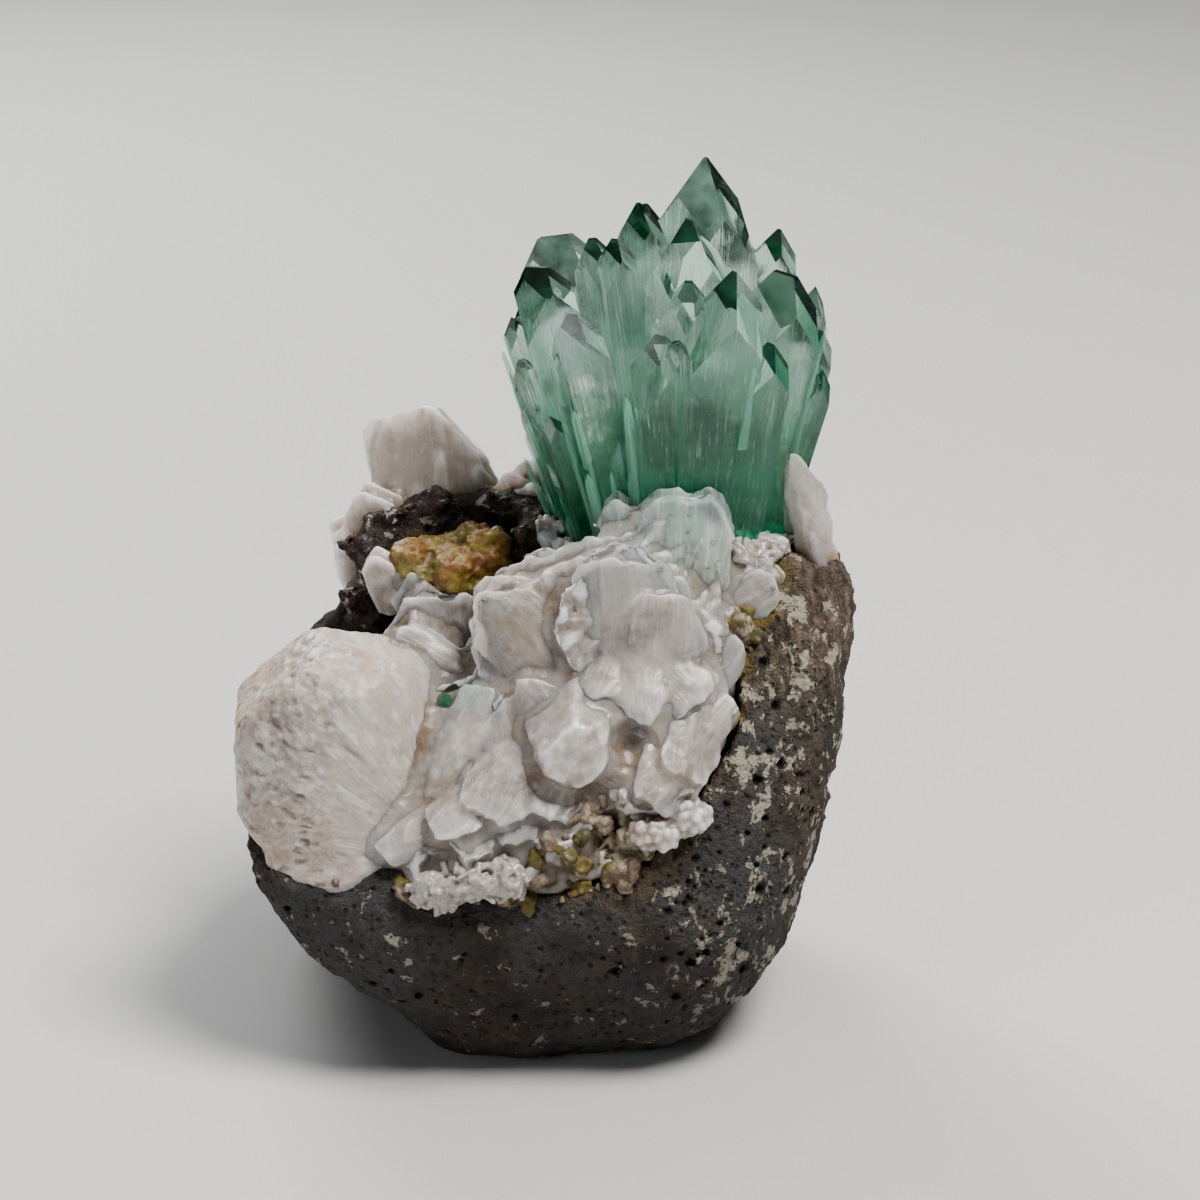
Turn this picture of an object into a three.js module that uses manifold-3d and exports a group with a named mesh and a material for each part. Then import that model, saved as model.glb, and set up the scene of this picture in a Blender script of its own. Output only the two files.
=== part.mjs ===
// An apophyllite specimen: a spray of green apophyllite crystals and white stilbite, on a piece of dark,
// bubbly basalt that carries them in a shallow hollow. Millimetres, +Z up. The origin is the middle of the
// flat patch that the basalt stands on, and -Y is the open front of the hollow.
import * as THREE from "three";
import { mergeVertices } from "three/addons/utils/BufferGeometryUtils.js";
import { ImprovedNoise } from "three/addons/math/ImprovedNoise.js";
import Module from "manifold-3d";

const wasm = await Module();
wasm.setup();

// ---- Driving dimensions -------------------------------------------------------------------------------

const GAP = 0.35; // clearance between pieces that touch
const ROCK_GAP = 0.5; // the same, measured from the rock's centre, where its faces lean
const ROCK_CENTRE = new THREE.Vector3(0, 2, 30);
const ROCK_SHARPNESS = 11; // how tightly the boulder's broken faces turn into each other
const ROCK_DETAIL = 7; // how finely its surface is divided
const BUBBLES = 14; // the largest open gas bubbles
const SPRAY_SOURCE = new THREE.Vector3(17, 8, 21); // where all the axes of the green crystals meet
const SPRAY_ROOT = 36; // distance from that source at which the crystals begin
const PYRAMID_LEAN = THREE.MathUtils.degToRad(29.6); // apophyllite's {101} face, from the crystal's axis

// ---- Small helpers ------------------------------------------------------------------------------------

const perlin = new ImprovedNoise();
const vector = (x, y, z) => new THREE.Vector3(x, y, z);
const degrees = THREE.MathUtils.degToRad;

// The same pseudo-random numbers each time, from 0 to 1.
function randomFrom(seed) {
  let state = seed >>> 0;
  return () => {
    state = (state * 1664525 + 1013904223) >>> 0;
    return state / 4294967296;
  };
}

// Two octaves of smooth noise, about -1 to 1, over features of the given size.
function roughness(point, size) {
  const coarse = perlin.noise(point.x / size, point.y / size, point.z / size);
  const fine = perlin.noise((2.1 * point.x) / size + 7, (2.1 * point.y) / size, (2.1 * point.z) / size);
  return coarse + 0.5 * fine;
}

function solidFrom(geometry) {
  const bare = geometry.clone();
  bare.deleteAttribute("normal");
  bare.deleteAttribute("uv");
  const merged = mergeVertices(bare, 1e-4);
  return new wasm.Manifold(
    new wasm.Mesh({
      numProp: 3,
      vertProperties: new Float32Array(merged.attributes.position.array),
      triVerts: new Uint32Array(merged.index.array),
    }),
  );
}

function geometryFrom(solid) {
  const { vertProperties, triVerts } = solid.getMesh();
  const geometry = new THREE.BufferGeometry();
  geometry.setAttribute("position", new THREE.BufferAttribute(new Float32Array(vertProperties), 3));
  geometry.setIndex(new THREE.BufferAttribute(new Uint32Array(triVerts), 1));
  geometry.computeVertexNormals();
  return geometry;
}

const joined = (solids) => wasm.Manifold.union(solids);

// Crumbs that a cut leaves loose are dropped: only the largest body is the piece.
function largestBody(solid) {
  const bodies = solid.decompose().sort((a, b) => b.volume() - a.volume());
  return bodies[0];
}

// Takes away all that lies beyond the plane through a point, on the side that outward looks to.
function cutAcross(solid, outward, point) {
  const way = outward.clone().normalize();
  return solid.trimByPlane([-way.x, -way.y, -way.z], -way.dot(point));
}

// Stands a solid that was made along +Z at root, along the axis, with its +Y side turned to face a way.
function place(solid, root, axis, facing) {
  const up = axis.clone().normalize();
  const across = new THREE.Vector3().crossVectors(facing, up).normalize();
  const front = new THREE.Vector3().crossVectors(up, across);
  const matrix = new THREE.Matrix4().makeBasis(across, front, up).setPosition(root);
  return solid.transform(matrix.elements);
}

// ---- Basalt -------------------------------------------------------------------------------------------

// The broken and weathered faces of the boulder: the way each looks, and how far it is from the centre.
const ROCK_FACES = [
  { name: "top", way: vector(0.04, 0.03, 1), distance: 32.5 },
  { name: "underside", way: vector(0, 0, -1), distance: 33 },
  { name: "slope", way: vector(-0.1, -0.78, 0.62), distance: 22.5 },
  { name: "front", way: vector(0, -1, 0.05), distance: 31.5 },
  { name: "front foot", way: vector(0.02, -0.83, -0.55), distance: 35.6 },
  { name: "right wall", way: vector(0.52, -0.8, 0.22), distance: 32.5 },
  { name: "right side", way: vector(1, 0.02, -0.2), distance: 34.4 },
  { name: "right crest", way: vector(0.92, 0, 0.38), distance: 47.8 },
  { name: "right foot", way: vector(0.74, -0.2, -0.64), distance: 37 },
  { name: "left side", way: vector(-1, -0.05, 0), distance: 38 },
  { name: "left foot", way: vector(-0.68, -0.25, -0.7), distance: 35.2 },
  { name: "left shoulder", way: vector(-0.7, 0.05, 0.7), distance: 32.5 },
  { name: "back", way: vector(0.05, 1, 0.05), distance: 28 },
  { name: "back foot", way: vector(0, 0.7, -0.7), distance: 34 },
  { name: "back left", way: vector(-0.55, 0.72, 0.42), distance: 32 },
  { name: "back right", way: vector(0.65, 0.72, 0.1), distance: 35 },
].map((face) => ({ ...face, way: face.way.clone().normalize() }));

// How far a lump bounded by flat faces reaches in one way. The sharper, the less its edges are rounded.
function facetedRadius(way, faces, sharpness) {
  let sum = 0;
  for (const face of faces) sum += (Math.max(0, way.dot(face.way)) / face.distance) ** sharpness;
  return sum ** (-1 / sharpness);
}

function rockRadius(way) {
  const radius = facetedRadius(way, ROCK_FACES, ROCK_SHARPNESS);
  const point = way.clone().multiplyScalar(radius);
  return radius + 1.5 * roughness(point, 13) + 0.7 * roughness(point, 5);
}

function boulder(growth) {
  const geometry = new THREE.IcosahedronGeometry(1, ROCK_DETAIL);
  const position = geometry.attributes.position;
  const way = new THREE.Vector3();
  for (let i = 0; i < position.count; i++) {
    way.fromBufferAttribute(position, i).normalize();
    const point = way.clone().multiplyScalar(rockRadius(way) + growth).add(ROCK_CENTRE);
    position.setXYZ(i, point.x, point.y, point.z);
  }
  return solidFrom(geometry);
}

// The hollow that holds the stilbite: a leaning, uneven bowl, open to the front and the top, with a lower
// lobe at the left under the dome.
const HOLLOW_LOBES = [
  { centre: vector(-4, -10.5, 46.5), radii: vector(27, 27, 18), lean: 41 },
  { centre: vector(-27, -9, 38), radii: vector(19, 18, 13), lean: 30, detail: 2 },
];

// A ball stretched to three radii, with an uneven surface.
function lumpyBall({ centre, radii, lean = 0, detail = 3, unevenness = 0.07 }, growth) {
  const geometry = new THREE.IcosahedronGeometry(1, detail);
  const position = geometry.attributes.position;
  const point = new THREE.Vector3();
  for (let i = 0; i < position.count; i++) {
    point.fromBufferAttribute(position, i);
    const swell = 1 + unevenness * roughness(point, 0.6);
    position.setXYZ(
      i,
      point.x * (radii.x * swell + growth),
      point.y * (radii.y * swell + growth),
      point.z * (radii.z * swell + growth),
    );
  }
  geometry.rotateX(degrees(lean));
  geometry.translate(centre.x, centre.y, centre.z);
  return solidFrom(geometry);
}

const hollow = (growth) => joined(HOLLOW_LOBES.map((lobe) => lumpyBall(lobe, growth)));

// Gas bubbles broken open by the weathered skin, thickest along the front and the right wall.
function bubbles() {
  const random = randomFrom(11);
  const pits = [];
  for (let i = 0; i < BUBBLES; i++) {
    const turn = degrees(-140 + 120 * random());
    const rise = degrees(-42 + 40 * random());
    const way = vector(Math.cos(turn) * Math.cos(rise), Math.sin(turn) * Math.cos(rise), Math.sin(rise));
    const size = 0.6 + 0.9 * random() ** 2;
    const pit = new THREE.IcosahedronGeometry(size, 0);
    pit.rotateX(6 * random());
    const at = way.clone().multiplyScalar(rockRadius(way)).add(ROCK_CENTRE);
    pit.translate(at.x, at.y, at.z);
    pits.push(solidFrom(pit));
  }
  return joined(pits);
}

// The thin broken ledge that stands round the back left of the hollow.
const LEDGE_LUMPS = [
  { centre: vector(-21.8, 9, 52), radii: vector(3.6, 4, 4.6), detail: 1 },
  { centre: vector(-20.4, 12.5, 56), radii: vector(4.4, 4, 4.4), detail: 1 },
  { centre: vector(-14.5, 15, 58.6), radii: vector(5, 3.6, 3.8), detail: 1 },
  { centre: vector(-8, 15.6, 59), radii: vector(5, 3.8, 3.4), detail: 1 },
  { centre: vector(-1.8, 15, 59), radii: vector(4.6, 4.2, 3.8), detail: 1 },
];

const ledge = (growth) => joined(LEDGE_LUMPS.map((lump) => lumpyBall(lump, growth)));

const rockBody = boulder(0).subtract(hollow(0)).add(ledge(0));
const rockClearance = boulder(ROCK_GAP).subtract(hollow(-ROCK_GAP)).add(ledge(ROCK_GAP));

// The rock stands on the flat break at z = 0.
function basaltMatrix() {
  return largestBody(cutAcross(rockBody.subtract(bubbles()), vector(0, 0, -1), vector(0, 0, 0)));
}

// ---- Apophyllite --------------------------------------------------------------------------------------

// A square prism along +Z from 0 to the tip, with the four steep faces of its pyramid over its corners.
// blunt cuts the point off square, uneven moves one pair of faces, which turns the point into an edge, and
// aside moves the point off the middle of the prism.
function apophylliteCrystal({ width, length, blunt = 0, uneven = 0, aside = 0 }, growth = 0) {
  const side = width + 2 * growth;
  const height = length + growth;
  let crystal = solidFrom(new THREE.BoxGeometry(side, side, height).translate(0, 0, height / 2));
  for (let corner = 0; corner < 4; corner++) {
    const turn = degrees(45 + 90 * corner);
    const sideways = vector(Math.cos(turn), Math.sin(turn), 0);
    const face = sideways.clone().multiplyScalar(Math.cos(PYRAMID_LEAN)).setZ(Math.sin(PYRAMID_LEAN));
    const point = vector(aside * width, 0, length);
    if (corner % 2) point.addScaledVector(sideways, uneven * width);
    crystal = cutAcross(crystal, face, point.addScaledVector(face, growth));
  }
  if (blunt > 0) crystal = cutAcross(crystal, vector(0, 0, 1), vector(0, 0, length - blunt * width + growth));
  return crystal;
}

// The large crystals, by the place of their tips. width is across the flats and turn is about the axis.
const MAIN_CRYSTALS = [
  // The peak, the broad crystal in front of it, and the two that stand right and left of them.
  { tip: vector(18.2, 12, 105.6), width: 11.4, turn: 24, blunt: 0.03, aside: -0.1 },
  { tip: vector(17, 3.5, 100.5), width: 9.5, turn: 36, blunt: 0.08 },
  { tip: vector(28.4, 14, 96), width: 5, turn: 10, uneven: 0.05 },
  { tip: vector(11, 6, 101.5), width: 5.4, turn: 30, blunt: 0.07 },
  // The left part of the spray, from the top down.
  { tip: vector(0.8, 12, 96.6), width: 10, turn: 20, blunt: 0.1, uneven: 0.16 },
  { tip: vector(5.4, 4, 98), width: 4, turn: 35, blunt: 0.2 },
  { tip: vector(8.2, 1, 98), width: 4.2, turn: 10, uneven: 0.1 },
  { tip: vector(-1.1, 3, 94.4), width: 7, turn: 4, blunt: 0.05, uneven: 0.22 },
  { tip: vector(3.2, -5.5, 90.6), width: 5.6, turn: 16, uneven: 0.12 },
  { tip: vector(-3.2, 0, 84), width: 2.2, turn: 40, blunt: 0.2 },
  { tip: vector(-2.6, 2, 77.5), width: 2, turn: 20 },
  // The front: two broad faces side by side, with small points standing on them.
  { tip: vector(16.8, -5, 95), width: 5, turn: 40, blunt: 0.15 },
  { tip: vector(21.3, -5, 95.6), width: 9, turn: 4, uneven: 0.04, aside: -0.1 },
  { tip: vector(13.6, -5.5, 88), width: 7.5, turn: 8, uneven: 0.1 },
  { tip: vector(28.6, 1, 94.6), width: 9, turn: 18, blunt: 0.1, uneven: 0.1 },
  { tip: vector(26.6, -5.5, 87), width: 5, turn: 14, uneven: 0.1 },
  { tip: vector(15.4, -8.6, 88.6), width: 2.6, turn: 42, blunt: 0.25 },
  { tip: vector(32.6, 8, 90.4), width: 3.4, turn: 30 },
  { tip: vector(32.9, 4, 86), width: 4, turn: 14, uneven: 0.15 },
  { tip: vector(33.2, 0.5, 82), width: 3, turn: 14 },
  // The far side of the spray.
  { tip: vector(12, 19, 98.5), width: 8.4, turn: 30, blunt: 0.06 },
  { tip: vector(22, 20, 96), width: 8.6, turn: 12, uneven: 0.14 },
  { tip: vector(28.5, 20, 88), width: 6.6, turn: 36, blunt: 0.1 },
  { tip: vector(4.4, 20, 88), width: 6.4, turn: 25, uneven: 0.1 },
  { tip: vector(15, 25, 87), width: 6.4, turn: 40, blunt: 0.1 },
  { tip: vector(23.5, 26, 84), width: 5.4, turn: 18 },
];

// Thin crystals that crowd the left and the far side of the foot.
function fringeCrystals() {
  const random = randomFrom(29);
  const fringe = [];
  const count = 20;
  for (let i = 0; i < count; i++) {
    const turn = degrees(20 + (225 * (i + 0.6 * random())) / count);
    const lean = degrees(17 + 3 * random());
    const length = 47 + 14 * random();
    const way = vector(Math.cos(turn) * Math.sin(lean), Math.sin(turn) * Math.sin(lean), Math.cos(lean));
    fringe.push({
      tip: way.multiplyScalar(length).add(SPRAY_SOURCE),
      width: 1.8 + 1.8 * random(),
      turn: 60 * random(),
      uneven: 0.15 * random(),
    });
  }
  return fringe;
}

// Each large crystal carries a narrower one in step with it, set against its side and ending lower.
function sideCrystals() {
  const random = randomFrom(5);
  const sides = [];
  for (const main of MAIN_CRYSTALS.filter(({ width }) => width > 5)) {
    for (const side of [0, 180]) {
      const turn = degrees(main.turn + side);
      const reach = main.width * (0.34 + 0.1 * random());
      const drop = main.width * (0.7 + 0.8 * random());
      sides.push({
        tip: main.tip.clone().add(vector(Math.cos(turn) * reach, Math.sin(turn) * reach, -drop)),
        width: main.width * (0.36 + 0.2 * random()),
        turn: main.turn,
        uneven: 0.1 * random(),
      });
    }
  }
  return sides;
}

function standingCrystal(crystal, growth) {
  const axis = crystal.tip.clone().sub(SPRAY_SOURCE);
  const length = axis.length() - SPRAY_ROOT;
  const root = axis.clone().setLength(SPRAY_ROOT - growth).add(SPRAY_SOURCE);
  const turn = degrees(crystal.turn);
  const facing = vector(Math.sin(turn), -Math.cos(turn), 0);
  return place(apophylliteCrystal({ ...crystal, length }, growth), root, axis, facing);
}

const SPRAY_CRYSTALS = [...MAIN_CRYSTALS, ...sideCrystals(), ...fringeCrystals()];
const spray = (growth) => joined(SPRAY_CRYSTALS.map((crystal) => standingCrystal(crystal, growth)));

function apophylliteSpray() {
  return largestBody(spray(0).subtract(rockClearance));
}

// ---- Stilbite -----------------------------------------------------------------------------------------

// One flat blade along +Z, pinched at its root, with worn shoulders and a low roof at its end. It runs on
// below z = 0 by a quarter of its length, into what it grows from. roof is the pitch of its end, in degrees.
function stilbiteBlade({ width, thick, length, roof = 34 }) {
  const whole = length * 1.25;
  const flare = degrees(9);
  const pitch = degrees(roof);
  let blade = solidFrom(new THREE.BoxGeometry(width, thick, whole).translate(0, 0, length - whole / 2));
  for (const side of [-1, 1]) {
    const slope = vector(side * Math.sin(pitch), 0, Math.cos(pitch));
    const shoulder = vector(side * 0.86, 0, 0.5);
    const flank = vector(side * Math.cos(flare), 0, -Math.sin(flare));
    blade = cutAcross(blade, slope, vector(0, 0, length));
    blade = cutAcross(blade, shoulder, vector(side * 0.36 * width, 0, length - 0.24 * width));
    blade = cutAcross(blade, flank, vector(side * 0.5 * width, 0, 0.8 * length));
  }
  return blade;
}

// A sheaf is a few blades that fan out from one root, each a step in front of the last. facing is the way
// that its broad side looks, and fan is how far its outer blades lean apart, in degrees.
function sheaf({ root, tip, facing, width, thick, fan = 9, leaves = 2, roof }) {
  const axis = tip.clone().sub(root);
  const length = axis.length();
  const blades = [];
  for (let i = 0; i < leaves; i++) {
    const along = leaves > 1 ? i / (leaves - 1) - 0.5 : 0;
    const blade = stilbiteBlade({
      width: width * (leaves > 1 ? 0.74 : 1),
      thick: thick * (leaves > 1 ? 0.55 : 1),
      length: length * (1 - 0.16 * Math.abs(along) - 0.05 * i),
      roof,
    })
      .translate([0, along * 0.45 * thick, 0])
      .rotate([-3 * along, 2 * fan * along, 0]);
    blades.push(place(blade, root, axis, facing));
  }
  return joined(blades);
}

const CENTRE_SHEAVES = [
  // The tall plate and its small neighbour that stand against the green crystals.
  {
    root: vector(17, -9.5, 55),
    tip: vector(16.2, -7.6, 70.5),
    facing: vector(0.05, -1, 0.15),
    width: 17, thick: 3.2, leaves: 3, roof: 16,
  },
  {
    root: vector(9.6, -6, 59),
    tip: vector(7.9, -5.6, 69.2),
    facing: vector(-0.2, -1, 0.2),
    width: 6.5, thick: 2.4,
  },
  // The great fan in the middle, seen full face, and the leaves that spread from it to the left.
  {
    root: vector(10, -17, 45),
    tip: vector(8, -10.5, 66),
    facing: vector(0.05, -1, 0.4),
    width: 19, thick: 5.4, fan: 12, leaves: 3, roof: 20,
  },
  {
    root: vector(13, -17, 46),
    tip: vector(14.6, -13.5, 61.5),
    facing: vector(0.25, -1, 0.3),
    width: 12, thick: 5, fan: 8, roof: 26,
  },
  {
    root: vector(3.5, -15, 45),
    tip: vector(-9.4, -8, 56.5),
    facing: vector(-0.25, -0.8, 0.7),
    width: 14, thick: 4.4, fan: 9, leaves: 3, roof: 20,
  },
  {
    root: vector(4, -14, 46),
    tip: vector(-0.4, -8, 61),
    facing: vector(-0.25, -1, 0.4),
    width: 11, thick: 4.4, fan: 7,
  },
  // The lower half of the same fan, and the blade that points down to the lip.
  {
    root: vector(9.5, -15, 52),
    tip: vector(9.8, -22.5, 43),
    facing: vector(0, -0.8, 0.6),
    width: 14, thick: 5, fan: 10,
  },
  {
    root: vector(19.5, -17, 44),
    tip: vector(8.6, -26.2, 35.6),
    facing: vector(0.2, -0.9, 0.45),
    width: 12, thick: 5.4, fan: 7, leaves: 3, roof: 16,
  },
  // The pearly plates left of the middle, and the blades that lie over the shaded pocket behind them.
  {
    root: vector(-12.5, -20, 34),
    tip: vector(-9.6, -12, 48.8),
    facing: vector(-0.35, -1, 0.3),
    width: 12, thick: 4.4, fan: 9, leaves: 3,
  },
  {
    root: vector(-3, -20, 35),
    tip: vector(-3.4, -13.5, 49.5),
    facing: vector(0.15, -1, 0.4),
    width: 12, thick: 4.6, fan: 8,
  },
  {
    root: vector(-8, -8, 45),
    tip: vector(-20.6, -5.5, 51.6),
    facing: vector(-0.1, -0.8, 0.7),
    width: 7, thick: 3.6,
  },
  {
    root: vector(-13, -1, 46),
    tip: vector(-19.2, -2.6, 57.2),
    facing: vector(-0.15, -1, 0.4),
    width: 10, thick: 3.4,
  },
  {
    root: vector(-10.5, 0.5, 47),
    tip: vector(-12, -1.5, 57.4),
    facing: vector(0.1, -1, 0.3),
    width: 9, thick: 3.4,
  },
  // The low blades along the front lip of the hollow.
  {
    root: vector(-6, -20, 37.5),
    tip: vector(-23.4, -25, 27.4),
    facing: vector(-0.2, -0.85, 0.55),
    width: 10, thick: 5, fan: 6,
  },
  {
    root: vector(-4, -18, 38),
    tip: vector(-12.6, -28.8, 28),
    facing: vector(-0.2, -0.8, 0.6),
    width: 10, thick: 5, fan: 7,
  },
  {
    root: vector(1, -18, 38),
    tip: vector(-1.6, -28.4, 28.6),
    facing: vector(0.05, -0.8, 0.6),
    width: 12, thick: 5, fan: 9,
  },
  // The lining of the right wall.
  {
    root: vector(17, -15, 43),
    tip: vector(23.4, -8.5, 54),
    facing: vector(-0.35, -1, 0.3),
    width: 8, thick: 4,
  },
  {
    root: vector(19, -8, 53),
    tip: vector(28.4, -5.6, 60.8),
    facing: vector(-0.1, -1, 0.5),
    width: 10, thick: 4,
  },
];

// The rounded rosette in front of the fan, and the lumpy crust of small crystals that spills over the lip.
const ROSETTE = { centre: vector(3.6, -22.4, 43), radii: vector(4.7, 4.2, 4.4), detail: 2, unevenness: 0.1 };

function lipCrust() {
  const random = randomFrom(3);
  const lumps = [];
  const count = 7;
  for (let i = 0; i < count; i++) {
    const along = i / (count - 1);
    const lump = new THREE.IcosahedronGeometry(1.9 + 1.2 * random(), 0);
    lump.rotateX(3 * random());
    lump.rotateZ(3 * random());
    lump.translate(-14 + 11.5 * along, -27.6 - 0.8 * Math.sin(3 * along), 26.2 + 1.5 * along + random());
    lumps.push(solidFrom(lump));
  }
  return joined(lumps);
}

// What the sheaves grow from: the filled floor of the hollow, lower than its rim, and the mounds under the
// fans and the spray.
const RIM_HEIGHT = 0.8;
const BED_LEVEL = { through: vector(-8, -14, 37), way: vector(0.02, -0.5, 0.87) };
const BED_MOUNDS = [
  { centre: vector(9, -9.5, 49), radii: vector(10, 8, 11), detail: 1 },
  { centre: vector(18.5, -8.5, 49), radii: vector(6.5, 7, 10), detail: 1 },
];
const COLLAR = { centre: vector(16.5, 5, 58.5), radii: vector(17.5, 13, 6.4), detail: 2, unevenness: 0.1 };

const collar = (growth) => lumpyBall(COLLAR, growth);

function bedFill() {
  const { through, way } = BED_LEVEL;
  const floor = cutAcross(hollow(-ROCK_GAP), way, through);
  const mounds = BED_MOUNDS.map((mound) => lumpyBall(mound, 0));
  return joined([floor.intersect(boulder(-RIM_HEIGHT)), ...mounds, collar(0)]);
}

// The large rounded mass at the left: a ball of radiating fibres, broken flat on its left and upper left.
const DOME_CENTRE = vector(-22, -9.5, 37);
const DOME_FACES = [
  { name: "left break", way: vector(-1, -0.08, 0.02), distance: 15.7 },
  { name: "upper break", way: vector(-0.68, 0, 0.74), distance: 14.8 },
  { name: "crown", way: vector(0.15, 0.1, 1), distance: 14 },
  { name: "front", way: vector(0.15, -0.95, 0.35), distance: 13 },
  { name: "foot", way: vector(-0.1, -0.55, -0.85), distance: 17 },
  { name: "inner side", way: vector(1, -0.1, 0.1), distance: 9.5 },
  { name: "lower left", way: vector(-0.75, -0.2, -0.6), distance: 16.6 },
  { name: "back", way: vector(0, 1, 0.1), distance: 10 },
].map((face) => ({ ...face, way: face.way.clone().normalize() }));
const DOME_SHARPNESS = 13;

function dome() {
  const geometry = new THREE.IcosahedronGeometry(1, 3);
  const position = geometry.attributes.position;
  const way = new THREE.Vector3();
  for (let i = 0; i < position.count; i++) {
    way.fromBufferAttribute(position, i).normalize();
    const radius = facetedRadius(way, DOME_FACES, DOME_SHARPNESS) + 0.35 * roughness(way, 0.5);
    const point = way.clone().multiplyScalar(radius).add(DOME_CENTRE);
    position.setXYZ(i, point.x, point.y, point.z);
  }
  return solidFrom(geometry);
}

function stilbiteCrust() {
  const parts = [bedFill(), dome(), lumpyBall(ROSETTE, 0), lipCrust(), ...CENTRE_SHEAVES.map(sheaf)];
  const around = joined([rockClearance, spray(GAP), clay(GAP), rimCrust(GAP), smallCrystal(GAP)]);
  return largestBody(joined(parts).subtract(around));
}

// The thick tabular crystal behind the basalt ledge at the upper left, with a thinner one below it.
const BACK_BLADES = [
  {
    root: vector(-14, 17, 53),
    tip: vector(-17.6, 20, 71.8),
    facing: vector(-0.1, -1, 0.1),
    width: 22, thick: 6, fan: 4, roof: 8,
  },
  {
    root: vector(-8, 17.5, 53),
    tip: vector(-9, 19, 67),
    facing: vector(0.25, -1, 0.1),
    width: 7, thick: 5, leaves: 1,
  },
  {
    root: vector(-13, 13, 48),
    tip: vector(-29.4, 15.2, 57.4),
    facing: vector(-0.2, -1, 0.3),
    width: 15, thick: 4.5, fan: 7, roof: 20,
  },
  {
    root: vector(-2, 17, 55),
    tip: vector(-3.2, 14, 67.5),
    facing: vector(-0.3, -1, 0.2),
    width: 8, thick: 4.5,
  },
];

// The sheaves that stand on the rock, outside the hollow, are cut back from all that they touch.
function standingSheaves(sheaves) {
  const around = joined([rockClearance, spray(GAP), collar(GAP)]);
  return largestBody(joined(sheaves.map(sheaf)).subtract(around));
}

// The single long sheaf that leans on the right of the spray.
const RIGHT_SHEAF = {
  root: vector(33.8, 0.2, 57),
  tip: vector(29, -2.2, 75),
  facing: vector(0.2, -1, 0.1),
  width: 7.4,
  thick: 4.4,
  fan: 4,
  roof: 20,
};

// The stilbite behind the spray.
const REAR_SHEAVES = [
  {
    root: vector(18, 18, 53),
    tip: vector(19, 27, 67),
    facing: vector(0.1, 1, 0.3),
    width: 13, thick: 5, fan: 11,
  },
  {
    root: vector(12, 18, 53),
    tip: vector(5, 25.5, 65.5),
    facing: vector(-0.3, 1, 0.3),
    width: 10, thick: 4.5,
  },
  {
    root: vector(25, 16, 53),
    tip: vector(31.5, 20.5, 65.5),
    facing: vector(0.6, 0.8, 0.2),
    width: 10, thick: 4.5,
  },
];

// The pale patch on the lip of the right wall.
const RIM_LUMPS = [
  { centre: vector(12.6, -25.8, 33), radii: vector(3.4, 2.6, 2.2), detail: 1 },
  { centre: vector(16.6, -24, 34.6), radii: vector(3.4, 2.6, 2.6), detail: 1 },
];

const rimCrust = (growth) => joined(RIM_LUMPS.map((lump) => lumpyBall(lump, growth)));
const stilbiteRimCrust = () => largestBody(rimCrust(0).subtract(rockClearance));

// ---- Clay and the small green crystal -----------------------------------------------------------------

// The ochre clay that fills the back of the hollow, under the ledge.
const CLAY = { centre: vector(-12, 5, 55), radii: vector(8, 5.5, 4.6), unevenness: 0.18 };
const clay = (growth) => lumpyBall(CLAY, growth);
const clayPocket = () => largestBody(clay(0).subtract(rockClearance));

// A single small green crystal that stands among the pearly plates.
const SMALL_CRYSTAL = {
  root: vector(-11.6, -11, 42),
  axis: vector(-0.1, -0.55, 0.6),
  width: 1.9, length: 6, turn: 20,
};

function smallCrystal(growth) {
  const { root, axis, turn } = SMALL_CRYSTAL;
  const facing = vector(Math.sin(degrees(turn)), -Math.cos(degrees(turn)), 0);
  return place(apophylliteCrystal(SMALL_CRYSTAL, growth), root, axis, facing);
}

// ---- The specimen -------------------------------------------------------------------------------------

const basalt = new THREE.MeshStandardMaterial({ color: 0x3f3936, roughness: 0.85, metalness: 0 });
const greenCrystal = new THREE.MeshStandardMaterial({ color: 0x5fae8c, roughness: 0.06, metalness: 0 });
const whiteCrystal = new THREE.MeshStandardMaterial({ color: 0xd9cfc8, roughness: 0.4, metalness: 0 });
const ochreClay = new THREE.MeshStandardMaterial({ color: 0xa97a35, roughness: 0.8, metalness: 0 });

const specimen = new THREE.Group();

function add(name, solid, material) {
  const mesh = new THREE.Mesh(geometryFrom(solid), material);
  mesh.name = name;
  specimen.add(mesh);
}

add("basalt_matrix", basaltMatrix(), basalt);
add("apophyllite_spray", apophylliteSpray(), greenCrystal);
add("apophyllite_small_crystal", smallCrystal(0), greenCrystal);
add("stilbite_crust", stilbiteCrust(), whiteCrystal);
add("stilbite_back_blade", standingSheaves(BACK_BLADES), whiteCrystal);
add("stilbite_right_sheaf", standingSheaves([RIGHT_SHEAF]), whiteCrystal);
add("stilbite_rear_cluster", standingSheaves(REAR_SHEAVES), whiteCrystal);
add("stilbite_rim_crust", stilbiteRimCrust(), whiteCrystal);
add("clay_pocket", clayPocket(), ochreClay);

export default specimen;
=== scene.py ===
"""A spray of green apophyllite crystals and white stilbite on dark basalt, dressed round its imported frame."""
import math
import random

import bmesh
import bpy
import numpy as np
from mathutils import Matrix, Vector, kdtree, noise


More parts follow.
